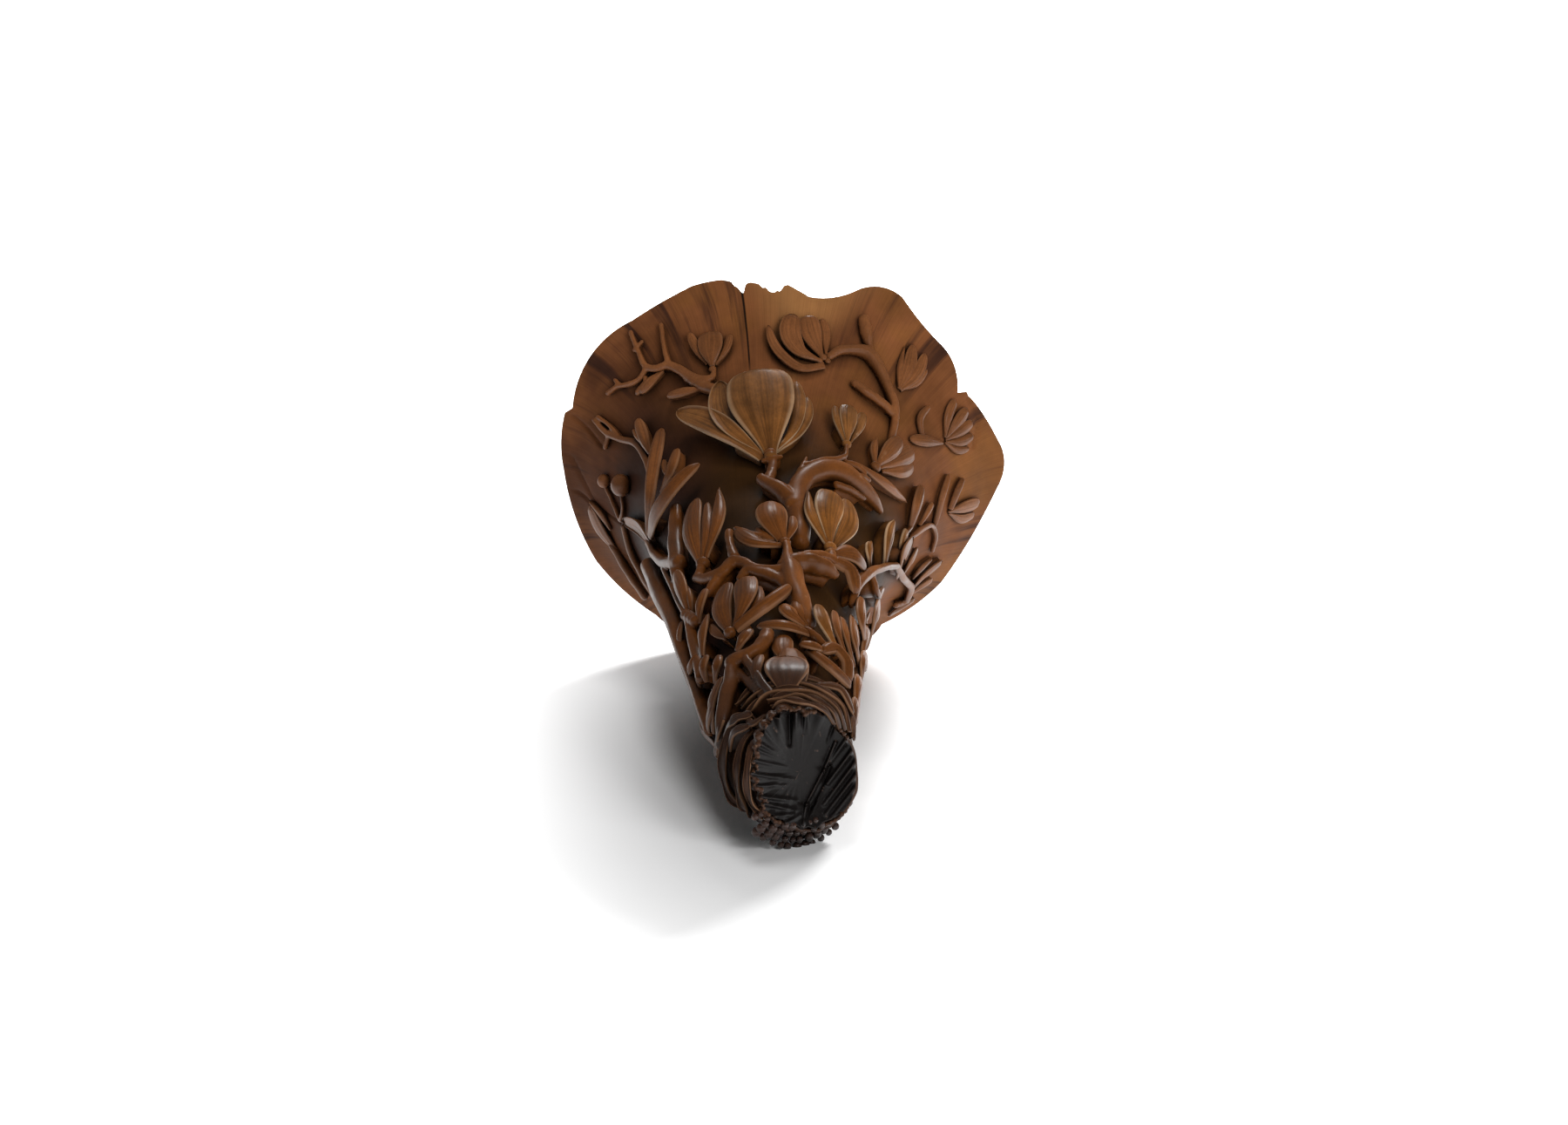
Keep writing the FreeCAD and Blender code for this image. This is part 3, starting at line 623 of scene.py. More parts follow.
@dataclass(frozen=True)
class CarvedHorn:
    """Keratin horn, cut with gravers, scraped smooth, rubbed with wax and held in the hands.

    The wax gives a soft sheen and the blade leaves long fibres in sight. Raised ridges and borders are painted
    pale, as rubbed by hands and as painted highlight, and corners and creases between the carving are painted
    dark, as grime and old wax and as painted shade.
    """

    name: str
    mouth: str  # colour at the flare
    neck: str
    tip: str
    # recess: colour of the painted shade in corners and creases, which also stands for grime and old wax
    recess: str
    # worn: the pale colour that raised ridges and borders are painted, for rubbing by hands and for painted highlight
    worn: str
    wear_and_highlight: float = 0.55
    edge_wear_and_highlight: float = 1.1  # paleness of a petal's border, from rubbing and painted highlight, as a share of a ridge's
    roughness: float = 0.38
    gloss: float = 0.3
    coat: float = 0.06
    fibre_mm: float = 0.7
    fibre_length_mm: float = 26.0
    cloud_mm: float = 24.0
    vein: float = 0.28
    shade_mm: float = 7.0  # how far the painted shade, which also stands for grime, spreads out of corners
    # where along Y the tip's colour turns into the neck's, and the neck's into the flare's
    tip_turn: tuple[float, float] = (-138.0, -100.0)
    neck_turn: tuple[float, float] = (20.0, 105.0)

    def make(self) -> bpy.types.Material:
        """Makes the material."""
        material, add = blank_material(self.name)
        place = add("TexCoord", out="Object")
        along = add("SeparateXYZ", inputs=(place,), out="Y")
        to_neck, to_mouth = (add("MapRange", SMOOTH, (along, low * MM, high * MM))
                             for low, high in (self.tip_turn, self.neck_turn))
        base = layered(add, linear(self.tip), ((to_neck, self.neck), (to_mouth, self.mouth)))
        cloud = add("TexNoise", inputs={
            "Vector": place, "Scale": 1 / (self.cloud_mm * MM), "Detail": 4.0, "Roughness": 0.6})
        cloudy = add("MapRange", inputs=(cloud, 0.35, 0.68, 0.72, 1.28))
        thin = 1 / (self.fibre_mm * MM)
        stretched = add("Mapping", inputs={
            "Vector": place, "Scale": (thin, 1 / (self.fibre_length_mm * MM), thin)})
        fibre = add("TexNoise", inputs={"Vector": stretched, "Scale": 1.0, "Detail": 3.0, "Roughness": 0.6})
        streak = add("MapRange", inputs=(fibre, 0.3, 0.7, 0.86, 1.12))
        grain = add("Attribute", {"attribute_name": GRAIN}, out="Vector")
        spread = add("Mapping", inputs={"Vector": grain, "Scale": (5.0, 0.7, 9.0)})
        veins = add("TexNoise", inputs={"Vector": spread, "Scale": 1.6, "Detail": 3.0, "Roughness": 0.55})
        veined = add("MapRange", inputs=(veins, 0.3, 0.7, 1 - self.vein, 1 + self.vein))
        tone = add("Math", TIMES, (add("Math", TIMES, (cloudy, streak)), veined))
        toned = add("VectorMath", {"operation": "SCALE"}, {0: base, "Scale": tone})
        # Raised ridges (high pointiness) and petal borders are painted pale: partly rubbing by hands, partly painted
        # highlight.
        point = add("NewGeometry", out="Pointiness")
        ridge = add("MapRange", inputs=(point, 0.54, 0.68, 0.0, self.wear_and_highlight))
        across = add("Math", {"operation": "ABSOLUTE"}, (add("SeparateXYZ", inputs=(grain,)),))
        edge = add("MapRange", SMOOTH, (across, 0.82, 0.97, 0.0, self.wear_and_highlight * self.edge_wear_and_highlight))
        raised = add("Math", {"operation": "MAXIMUM"}, (ridge, edge))
        kept = add("Math", {"operation": "MULTIPLY_ADD"}, (to_mouth, -0.6, 1.0))
        rubbed_and_highlit = add("Math", TIMES, (add("Math", TIMES, (raised, kept)), cloudy))
        # Painted shade: corners found by ambient occlusion and creases of low pointiness are darkened towards the
        # recess colour, which also stands for grime and old wax.
        shut = add("AmbientOcclusion", {"samples": 6}, {"Distance": self.shade_mm * MM}, "AO")
        corner_shade = add("MapRange", inputs=(shut, 0.8, 0.25, 0.0, 0.9))
        cut = add("MapRange", inputs=(point, 0.485, 0.43, 0.0, 0.7))
        dirt_and_shade = add("Math", {"operation": "MAXIMUM"}, (corner_shade, cut))
        colour = layered(add, toned, ((rubbed_and_highlit, self.worn), (dirt_and_shade, self.recess)))
        sheen = add("MapRange", inputs=(cloud, 0.3, 0.7, self.roughness - 0.08, self.roughness + 0.1))
        relief = add("Bump", inputs={"Height": fibre, "Strength": 0.35, "Distance": 0.12 * MM})
        surface = add("BsdfPrincipled", inputs={
            "Base Color": colour, "Roughness": sheen, "Normal": relief, "IOR": HORN_IOR,
            "Specular IOR Level": self.gloss, "Coat Weight": self.coat, "Coat Roughness": 0.2})
        add("OutputMaterial", inputs=(surface,))
        return material


@dataclass(frozen=True)
class ScrapedHorn:
    """The horn's own wall: keratin scraped thin, smooth and waxed, with the fibres along its length.

    Scraping opens the growth fibres, which show as dark streaks near the rim. The horn is palest at the top by the
    split, and this pale patch is spread to the right as painted light; the left of the flare is painted darker as
    painted shade, the wall turns darker towards the neck, and corners on the outside are painted dark as painted
    shade and grime.
    """

    name: str = "scraped_waxed_horn"
    flare: str = "#7a4b2c"
    amber: str = "#7d5224"
    stain: str = "#4a2a1c"
    # pale: colour of the patch by the split, also the painted light on the right of the flare
    pale: str = "#a06f42"
    # streak: colour of the dark fibre streaks, also used for the painted shade on the left of the flare
    streak: str = "#34201a"
    neck: str = "#38230f"
    inside: str = "#5c3b24"
    # colour of the split, also used for the painted shade in corners on the outside
    crack_and_shade: str = "#1d120c"
    roughness: float = 0.56
    gloss: float = 0.07
    crack_clock: float = -11.0
    crack_depth: float = 0.125  # place where it has ended, as a share of the horn's length
    crack_fade: float = 0.09  # place from which it fades towards its end
    crack_half: tuple[float, float] = (0.0075, 0.0035)  # radians, where its colour starts and is full
    mouth_radius_mm: float = 70.0
    streak_mm: float = 9.0
    cloud_mm: float = 30.0
    band_mm: float = 42.0
    shade_mm: float = 9.0

    def make(self) -> bpy.types.Material:
        """Makes the material."""
        material, add = blank_material(self.name)
        place = add("TexCoord", out="Object")
        grain = add("Attribute", {"attribute_name": GRAIN}, out="Vector")
        sine, cosine, depth = (add("SeparateXYZ", inputs=(grain,), out=i) for i in range(3))
        clock = add("Math", {"operation": "ARCTAN2"}, (sine, cosine))
        turns = self.mouth_radius_mm / self.streak_mm
        stretched = add("Mapping", inputs={"Vector": grain, "Scale": (turns, turns, 2.2)})
        broad = add("TexNoise", inputs={
            "Vector": stretched, "Scale": 1.0, "Detail": 4.0, "Roughness": 0.65, "Distortion": 0.3})
        fine = add("Mapping", inputs={"Vector": grain, "Scale": (150.0, 150.0, 9.0)})
        fibre = add("TexNoise", inputs={"Vector": fine, "Scale": 1.0, "Detail": 2.0, "Roughness": 0.6})
        cloud = add("TexNoise", inputs={
            "Vector": place, "Scale": 1 / (self.cloud_mm * MM), "Detail": 4.0, "Roughness": 0.6})
        bands = add("TexNoise", inputs={
            "Vector": place, "Scale": 1 / (self.band_mm * MM), "Detail": 3.0, "Roughness": 0.55})
        # The pale patch at the top by the split is the horn's own tone; it is spread to the right, the lit side, as
        # painted light.
        patch = add("Math", {"operation": "SUBTRACT"}, (clock, 0.1))
        patch = add("Math", {"operation": "ABSOLUTE"}, (patch,))
        wide = add("Math", {"operation": "MULTIPLY_ADD"}, (depth, 1.8, patch))
        ragged = add("Math", {"operation": "MULTIPLY_ADD"}, (cloud, 0.25, wide))
        tan_and_lit = add("MapRange", SMOOTH, (ragged, 0.48, 0.2, 0.0, 0.85))
        streaky = add("MapRange", SMOOTH, (broad, 0.50, 0.64, 0.0, 0.85))
        near_rim = add("MapRange", SMOOTH, (depth, 0.15, 0.0))
        to_neck = add("MapRange", SMOOTH, (depth, 0.10, 0.34))
        golden = add("MapRange", SMOOTH, (bands, 0.48, 0.64, 0.0, 0.4))
        stained = add("MapRange", SMOOTH, (bands, 0.45, 0.34, 0.0, 0.55))
        # Painted shade: the left of the flare, the side away from the lamps, is darkened from just past the rim
        # onwards with the streak colour.
        left = add("MapRange", SMOOTH, (clock, math.radians(-22), math.radians(-60), 0.0, 0.9))
        off_rim = add("MapRange", SMOOTH, (depth, -0.02, 0.12))
        dark = add("Math", {"operation": "MAXIMUM"}, (
            add("Math", TIMES, (streaky, near_rim)), add("Math", TIMES, (left, off_rim))))
        hollow = add("Attribute", {"attribute_name": HOLLOW}, out="Fac")
        lining = layered(add, linear(self.inside), ((streaky, self.neck),))
        base = layered(add, linear(self.flare), (
            (golden, self.amber), (stained, self.stain), (to_neck, self.neck), (dark, self.streak),
            (tan_and_lit, self.pale), (hollow, lining)))
        clouded = add("MapRange", inputs=(cloud, 0.35, 0.68, 0.75, 1.22))
        lines = add("MapRange", inputs=(fibre, 0.3, 0.7, 0.9, 1.1))
        tone = add("Math", TIMES, (clouded, lines))
        toned = add("VectorMath", {"operation": "SCALE"}, {0: base, "Scale": tone})
        off_crack = add("Math", {"operation": "SUBTRACT"}, (clock, math.radians(self.crack_clock)))
        wander = add("Math", {"operation": "MULTIPLY_ADD"}, (fibre, 0.004, off_crack))
        near = add("Math", {"operation": "ABSOLUTE"}, (wander,))
        split = add("MapRange", inputs=(near, *self.crack_half))
        ends = add("MapRange", inputs=(depth, self.crack_depth, self.crack_fade))
        # Painted shade: corners on the outside, found by ambient occlusion, are darkened with the colour of the
        # split, which also stands for grime.
        shut = add("AmbientOcclusion", {"samples": 6}, {"Distance": self.shade_mm * MM}, "AO")
        corner_shade = add("MapRange", inputs=(shut, 0.85, 0.3, 0.0, 0.8))
        outer = add("Math", {"operation": "MULTIPLY_ADD"}, (hollow, -1.0, 1.0))
        colour = layered(add, toned, ((add("Math", TIMES, (split, ends)), self.crack_and_shade),
                                      (add("Math", TIMES, (corner_shade, outer)), self.crack_and_shade)))
        sheen = add("MapRange", inputs=(cloud, 0.3, 0.7, self.roughness - 0.06, self.roughness + 0.1))
        relief = add("Bump", inputs={"Height": fibre, "Strength": 0.3, "Distance": 0.1 * MM})
        surface = add("BsdfPrincipled", inputs={
            "Base Color": colour, "Roughness": sheen, "Normal": relief, "IOR": HORN_IOR,
            "Specular IOR Level": self.gloss})
        add("OutputMaterial", inputs=(surface,))
        return material


@dataclass(frozen=True)
class PaleTable:
    """Matt white card that the cup lies on. Away from the cup the camera sees it run into white."""

    name: str = "matt_white_card"
    colour: str = "#f0f0f0"
    middle: tuple[float, float, float] = (0.0, 0.06, 0.0)  # metres, from the middle of the cup's shadow
    squash: tuple[float, float, float] = (2.0, 0.62, 1.0)
    fade_from: float = 0.05
    fade_to: float = 0.3

    def make(self) -> bpy.types.Material:
        """Makes the material."""
        material, add = blank_material(self.name)
        moved = add("VectorMath", {"operation": "ADD"}, (add("TexCoord", out="Object"), self.middle))
        squashed = add("VectorMath", TIMES, (moved, self.squash))
        away = add("VectorMath", {"operation": "LENGTH"}, (squashed,), "Value")
        fade = add("MapRange", SMOOTH, (away, self.fade_from, self.fade_to))
        glow = add("Math", TIMES, (add("LightPath", out="Is Camera Ray"), fade))
        speck = add("TexNoise", inputs={"Scale": 900.0, "Detail": 2.0})
        relief = add("Bump", inputs={"Height": speck, "Strength": 0.02, "Distance": 0.1 * MM})
        surface = add("BsdfPrincipled", inputs={
            "Base Color": linear(self.colour), "Roughness": 0.9, "Specular IOR Level": 0.2,
            "Normal": relief, "Emission Color": WHITE, "Emission Strength": glow})
        add("OutputMaterial", inputs=(surface,))
        return material


@dataclass(frozen=True)
class SoftBox:
    """One large soft lamp."""

    name: str
    place: tuple[float, float, float]
    width: float
    watts: float
    mirrored: bool = True  # whether the waxed horn mirrors it

    def hang(self, target: Vector) -> None:
        """Hangs the lamp and turns it to a target.

        Args:
            target: the place that it shines on.
        """
        data = bpy.data.lights.new(self.name, "AREA")
        data.shape, data.size, data.energy = "DISK", self.width, self.watts
        lamp = bpy.data.objects.new(self.name, data)
        bpy.context.scene.collection.objects.link(lamp)
        lamp.location = self.place
        lamp.rotation_euler = (target - lamp.location).to_track_quat("-Z", "Y").to_euler()
        lamp.visible_glossy = self.mirrored


@dataclass(frozen=True)
class Studio:
    """The white table, the pale surround and the lamps, in metres."""

    lamps: tuple[SoftBox, ...] = (
        SoftBox("back_lamp", (0.62, 1.66, 0.69), 0.5, 82.0, mirrored=False),
        SoftBox("glint_lamp", (0.1, 1.5, 1.3), 0.3, 3.0),
        SoftBox("front_lamp", (0.9, -1.7, 0.8), 1.2, 26.0, mirrored=False),
        SoftBox("front_glint_lamp", (0.75, -1.3, 1.0), 0.28, 1.4),
        SoftBox("top_lamp", (-0.1, 0.3, 1.7), 0.6, 9.0, mirrored=False),
    )
    aim: tuple[float, float, float] = (0.0, 0.0, 0.06)
    surround: float = 0.11
    span: float = 30.0
    squares: int = 8

    def build(self) -> None:
        """Makes the table, the surround and the lamps."""
        clay = Clay()
        steps = self.squares + 1
        line = np.linspace(-self.span / 2, self.span / 2, steps) / MM
        x, y = np.meshgrid(line, line, indexing="ij")
        points = np.stack((x, y, np.zeros_like(x)), axis=-1)
        faces = [(i * steps + j, (i + 1) * steps + j, (i + 1) * steps + j + 1, i * steps + j + 1)
                 for i in range(self.squares) for j in range(self.squares)]
        clay.add(points, np.zeros_like(points), faces)
        table = clay.fire("table")
        table.data.materials.append(PaleTable().make())
        world = bpy.data.worlds.new("surround")
        bpy.context.scene.world = world
        world.use_nodes = True
        world.node_tree.nodes.clear()
        add = partial(add_node, world.node_tree)
        level = add("MapRange", inputs=(add("LightPath", out="Is Camera Ray"), 0.0, 1.0, self.surround))
        add("OutputWorld", inputs=(add("Background", inputs=(WHITE, level)),))
        for lamp in self.lamps:
            lamp.hang(Vector(self.aim))
        bpy.context.scene.view_settings.view_transform = "Standard"


@dataclass
class HornBody:
    """The horn: its outside, the hollow, the lobed rim, the chips and the worn flat under it."""

    length: float = 283.0
    mouth_width: float = 168.0
    mouth_height: float = 151.0
    mouth_lean: float = 12.0
    mouth_place: float = 137.5
    tip_width: float = 38.0
    tip_clearance: float = 4.5
    tip_turn: float = 37.0
    tip_hook: float = 7.0
    sway: float = 5.0
    lip_wall: float = 3.8
    edge_wall: float = 1.9  # at the rim itself, where the lip thins out
    body_wall: float = 7.0
    bore_depth: float = 188.0
    bore_end_width: float = 20.0
    close_from: float = 0.53  # place where the hollow starts to close towards its end
    thinning: float = 0.05  # share of the length over which the wall thins to its edge
    foot_flat: float = 1.2
    overrun: float = 7.0
    overrun_share: float = 1.18
    gap_depth: float = 1.3  # how far the ground is cut away between the carving on the neck
    gap_start: tuple[float, float] = (0.26, 0.14)  # place where the cut starts, and the share it deepens over
    gap_stop: tuple[float, float] = (0.95, 0.04)  # place where it has run out, and the share it runs out over
    groove_depth: float = 0.9
    groove_half: float = 0.8  # half the width of a fine line
    groove_reach: float = 3.0  # how far from a line's middle it is still cut
    columns: int = 900
    rows: int = 330
    inner_rows: int = 150
    bead_round: float = 0.8  # how round the rim's edge is, as a share of a half circle
    dome_depth: float = 5.0  # how far the hollow's end is rounded out
    # place, then shares of the growth in width, of the mouth's flattening, of the rise, of the lean, of
    # the sway, of the hook, of the tip's turn and of the wall's growth
    stations: tuple[tuple[float, ...], ...] = (
        (0.0, 1.0, 1.0, 1.0, 1.0, 0.0, 0.0, 0.0, 0.0),
        (0.043, 0.792, 0.99, 0.945, 0.9, 0.1, 0.0, 0.0, 0.0),
        (0.108, 0.6, 0.89, 0.865, 0.8, 0.3, 0.0, 0.0, 0.05),
        (0.215, 0.423, 0.59, 0.737, 0.7, 0.6, 0.0, 0.0, 0.3),
        (0.353, 0.3, 0.4, 0.583, 0.5, 0.9, 0.0, 0.0, 0.7),
        (0.53, 0.2, 0.25, 0.4, 0.4, 1.0, 0.0, 0.0, 1.0),
        (0.707, 0.108, 0.2, 0.242, 0.3, 0.5, 0.0, 0.0, 1.0),
        (0.88, 0.038, 0.2, 0.1, 0.0, 0.0, 0.12, 0.15, 1.0),
        (0.945, 0.023, 0.2, 0.04, 0.0, 0.0, 0.42, 0.5, 1.0),
        (1.0, 0.0, 0.2, 0.0, 0.0, 0.0, 1.0, 1.0, 1.0),
    )
    # the lobed rim clockwise from the top, in shares of half the mouth's width and height: each row is
    # an arc's start and middle, and a row with no middle is a straight step
    rim: tuple[tuple[tuple[float, float], tuple[float, float] | None], ...] = (
        ((0.02, 0.97), (0.17, 0.93)),
        ((0.31, 0.95), (0.43, 0.965)),
        ((0.53, 0.91), (0.62, 0.78)),
        ((0.71, 0.67), (0.765, 0.57)),
        ((0.78, 0.445), None),
        ((0.82, 0.44), (0.91, 0.29)),
        ((0.97, 0.16), (1.0, 0.04)),
        ((0.97, -0.09), (0.85, -0.35)),
        ((0.72, -0.60), (0.60, -0.73)),
        ((0.45, -0.84), (0.39, -0.94)),
        ((0.27, -1.0), (0.0, -0.985)),
        ((-0.27, -1.0), (-0.45, -0.93)),
        ((-0.59, -0.80), (-0.735, -0.665)),
        ((-0.86, -0.50), (-0.95, -0.26)),
        ((-1.0, 0.0), (-1.01, 0.15)),
        ((-0.99, 0.30), None),
        ((-0.955, 0.33), (-0.87, 0.6)),
        ((-0.68, 0.79), (-0.55, 0.885)),
        ((-0.41, 0.97), (-0.18, 1.01)),
    )
    # where the rim is chipped on both sides of the crack, from left to right, in the same shares
    chips: tuple[tuple[float, float], ...] = (
        (-0.25, 1.0), (-0.236, 0.998), (-0.222, 0.98), (-0.205, 0.972), (-0.192, 0.955), (-0.18, 0.95),
        (-0.172, 0.99), (-0.15, 0.998), (-0.113, 0.992), (-0.095, 0.975), (-0.082, 0.978), (-0.065, 0.96),
        (-0.045, 0.956), (-0.03, 0.965), (-0.018, 0.96), (0.0, 0.985), (0.018, 0.99), (0.05, 0.972), (0.1, 0.945),
    )
    # fine lines cut into the flare, by pixels of the photograph
    grooves: tuple[tuple[tuple[float, float], ...], ...] = (
        ((657, 477), (675, 493), (690, 512)),
        ((655, 523), (670, 552), (688, 583), (712, 600)),
        ((661, 563), (672, 571), (680, 580)),
        ((686, 650), (706, 672), (735, 697)),
        ((1044, 395), (1036, 415), (1031, 440)),
        ((1112, 455), (1122, 480), (1118, 512)),
    )

    def table(self) -> tuple[np.ndarray, np.ndarray]:
        """The stations as places and as rows of centre, half width, half height, lean, turn and wall."""
        rows = np.array(self.stations)
        place, swell, flat, rise, lean, sway, hook, turn, growth = rows.T
        mouth_rise = self.mouth_height / 2 * math.cos(math.radians(self.mouth_lean)) - self.foot_flat
        tip_rise = self.tip_width / 2 + self.tip_clearance
        half_width = (self.tip_width + (self.mouth_width - self.tip_width) * swell) / 2
        half_height = half_width * (1 - (1 - self.mouth_height / self.mouth_width) * flat)
        wall = self.lip_wall + (self.body_wall - self.lip_wall) * growth
        values = np.stack((self.tip_hook * hook - self.sway * sway, self.mouth_place - self.length * place,
                           tip_rise + (mouth_rise - tip_rise) * rise, half_width, half_height,
                           self.mouth_lean * lean, self.tip_turn * turn, wall), axis=1)
        past = values[0].copy()
        past[1] += self.overrun
        past[3:5] *= self.overrun_share
        return np.concatenate(([-self.overrun / self.length], place)), np.concatenate((past[None], values))

    def ring(self, places: np.ndarray, clocks: np.ndarray, half: np.ndarray | None = None) -> np.ndarray:
        """Points of the horn's sections.

        Args:
            places: shares of the length.
            clocks: angles in degrees, as many as the places.
            half: half widths to use in place of the horn's own, where given.

        Returns:
            Places in millimetres.
        """
        knots, values = self.table()
        row = flow(knots, values, places)
        lean, turn = np.radians(row[..., 5]), np.radians(row[..., 6])
        zero = np.zeros_like(lean)
        across = np.stack((np.cos(turn), np.sin(turn), zero), axis=-1)
        up = np.stack((zero, -np.sin(lean), np.cos(lean)), axis=-1)
        angle = np.radians(clocks)
        wide, tall = row[..., 3], row[..., 4]
        if half is not None:
            wide, tall = half, half * row[..., 4] / row[..., 3]
        return (row[..., :3] + across * (wide * np.sin(angle))[..., None]
                + up * (tall * np.cos(angle))[..., None])

    def outside(self, places: np.ndarray, clocks: np.ndarray) -> np.ndarray:
        """Points of the horn's outside."""
        return self.ring(places, clocks)

    def rim_outline(self) -> np.ndarray:
        """The rim's outline in shares of half the mouth's width and height, chips and all."""
        scale = np.array((self.mouth_width / 2, self.mouth_height / 2))
        outline = []
        for index, (start, middle) in enumerate(self.rim):
            end = self.rim[(index + 1) % len(self.rim)][0]
            if middle is None:
                outline.append(np.array(start))
                continue
            (ax, ay), (bx, by), (cx, cy) = (np.array(p) * scale for p in (start, middle, end))
            twice = 2 * (ax * (by - cy) + bx * (cy - ay) + cx * (ay - by))
            a, b, c = ax * ax + ay * ay, bx * bx + by * by, cx * cx + cy * cy
            hub = np.array(((a * (by - cy) + b * (cy - ay) + c * (ay - by)) / twice,
                            (a * (cx - bx) + b * (ax - cx) + c * (bx - ax)) / twice))
            angles = [math.atan2(y - hub[1], x - hub[0]) for x, y in ((ax, ay), (bx, by), (cx, cy))]
            sweep = (angles[2] - angles[0]) % (2 * math.pi)
            if (angles[1] - angles[0]) % (2 * math.pi) > sweep:
                sweep -= 2 * math.pi
            reach = math.hypot(ax - hub[0], ay - hub[1])
            for step in np.linspace(0, 1, 14)[:-1]:
                angle = angles[0] + sweep * step
                outline.append((hub + reach * np.array((math.cos(angle), math.sin(angle)))) / scale)
        first, last = self.chips[0][0], self.chips[-1][0]
        kept = [p for p in outline if not (p[1] > 0.9 and first < p[0] < last)]
        return np.array(kept + [np.array(p) for p in self.chips])

    def rim_places(self, clocks: np.ndarray) -> np.ndarray:
        """Where the outline trims the horn.

        Args:
            clocks: angles in degrees.

        Returns:
            A place for each angle.
        """
        outline = self.rim_outline()
        polar = np.degrees(np.arctan2(outline[:, 0], outline[:, 1])) % 360
        reach = np.hypot(outline[:, 0], outline[:, 1])
        order = np.argsort(polar)
        polar, reach = polar[order], reach[order]
        polar = np.concatenate((polar - 360, polar, polar + 360))
        reach = np.tile(reach, 3)
        knots, values = self.table()
        centre, lean = values[1, :3], math.radians(self.mouth_lean)
        up = np.array((0.0, -math.sin(lean), math.cos(lean)))
        tries = np.linspace(0.13, knots[0], 160)
        grid = self.outside(*np.meshgrid(tries, clocks, indexing="ij")) - centre
        x, z = grid[..., 0] / (self.mouth_width / 2), grid @ up / (self.mouth_height / 2)
        excess = np.hypot(x, z) - np.interp(np.degrees(np.arctan2(x, z)) % 360, polar, reach)
        found = []
        for column in range(len(clocks)):
            over = np.nonzero(excess[:, column] > 0)[0]
            step = int(over[0]) if len(over) else len(tries) - 1
            before, after = excess[step - 1, column], excess[step, column]
            share = np.clip(-before / (after - before), 0, 1) if step else 0.0
            found.append(tries[step - 1] + (tries[step] - tries[step - 1]) * share)
        return np.array(found)

    def build(self, ground: Ground) -> bpy.types.Object:
        """Makes the dressed horn.

        Args:
            ground: the plain horn, which the grooves are laid on.

        Returns:
            The object.
        """
        clocks = np.linspace(0.0, 360.0, self.columns + 1)[:-1] + 180.0
        rim = self.rim_places(clocks)
        share = np.linspace(0.0, 1.0, self.rows)[:, None]
        places = rim[None, :] + (1.0 - rim[None, :]) * share
        turned = np.broadcast_to(clocks, places.shape)
        outer = self.outside(places, turned)
        normal = unit(np.cross(np.roll(outer, -1, axis=1) - np.roll(outer, 1, axis=1),
                               np.gradient(outer, axis=0)))
        middle = outer.mean(axis=1, keepdims=True)
        normal *= np.sign(((outer - middle) * normal).sum(-1, keepdims=True))
        (start, deepen), (stop, fade) = self.gap_start, self.gap_stop
        sink = self.gap_depth * np.clip((places - start) / deepen, 0, 1) * np.clip((stop - places) / fade, 0, 1)
        wavy = 1 + 0.25 * np.sin(places * 61 + np.sin(np.radians(turned) * 5) * 2)
        sway = 0.35 * np.sin(np.radians(turned) * 9 + places * 14) * np.clip(1 - places * 4, 0, 1) * share * 8
        outer = outer - normal * (sink * wavy + np.clip(sway, -0.5, 0.5))[..., None]
        outer = self.cut_grooves(outer, normal, ground)
        end_place = self.bore_depth / self.length
        inner_share = np.linspace(0.0, 1.0, self.inner_rows)[:, None]
        inner_places = rim[None, :] + (end_place - rim[None, :]) * inner_share
        inner_turned = np.broadcast_to(clocks, inner_places.shape)
        section = flow(*self.table(), inner_places)
        thin = np.clip((inner_places - rim[None, :]) / self.thinning, 0, 1)
        inner_wall = self.edge_wall + (section[..., 7] - self.edge_wall) * thin * thin * (3 - 2 * thin)
        close = np.clip((inner_places - self.close_from) / (end_place - self.close_from), 0, 1)
        half = (section[..., 3] - inner_wall) * (1 - close) + self.bore_end_width / 2 * close
        inner = self.ring(inner_places, inner_turned, half=half)
        bead = []
        edge, lip = outer[0], inner[0]
        past = unit(outer[0] - outer[2])
        for angle in np.radians((30.0, 60.0, 90.0, 120.0, 150.0)):
            bead.append((edge + lip) / 2 + (edge - lip) / 2 * math.cos(angle)
                        + past * np.linalg.norm(edge - lip, axis=1)[:, None] / 2 * math.sin(angle) * self.bead_round)
        cap = [outer[-1].mean(0) + (outer[-1] - outer[-1].mean(0)) * s for s in (0.97, 0.8, 0.5, 0.2)]
        hub = inner[-1].mean(0)
        dome = [hub + (inner[-1] - hub) * s + np.array((0, -self.dome_depth, 0)) * (1 - s * s) ** 0.5
                for s in (0.95, 0.8, 0.55, 0.25)]
        rings = np.concatenate((np.array(cap[::-1]), outer[::-1], np.array(bead), inner, np.array(dome)))
        rings[..., 2] = np.maximum(rings[..., 2], 0.0)
        hollow = np.zeros(rings.shape[:2])
        hollow[len(cap) + len(outer) + 3:] = 1.0
        angle = np.radians(clocks)
        where = np.concatenate((np.ones((len(cap), self.columns)), places[::-1],
                                np.broadcast_to(rim, (len(bead), self.columns)), inner_places,
                                np.full((len(dome), self.columns), end_place)))
        grain = np.stack((np.broadcast_to(np.sin(angle), where.shape), np.broadcast_to(np.cos(angle), where.shape),
                          where), axis=-1)
        clay = Clay()
        clay.add_rings(rings, grain)
        horn = clay.fire("hollowed_horn")
        layer = horn.data.attributes.new(HOLLOW, "FLOAT", "POINT")
        layer.data.foreach_set("value", np.concatenate((hollow.ravel(), (0.0, 1.0))).astype(np.float32))
        horn.data.materials.append(ScrapedHorn().make())
        return horn

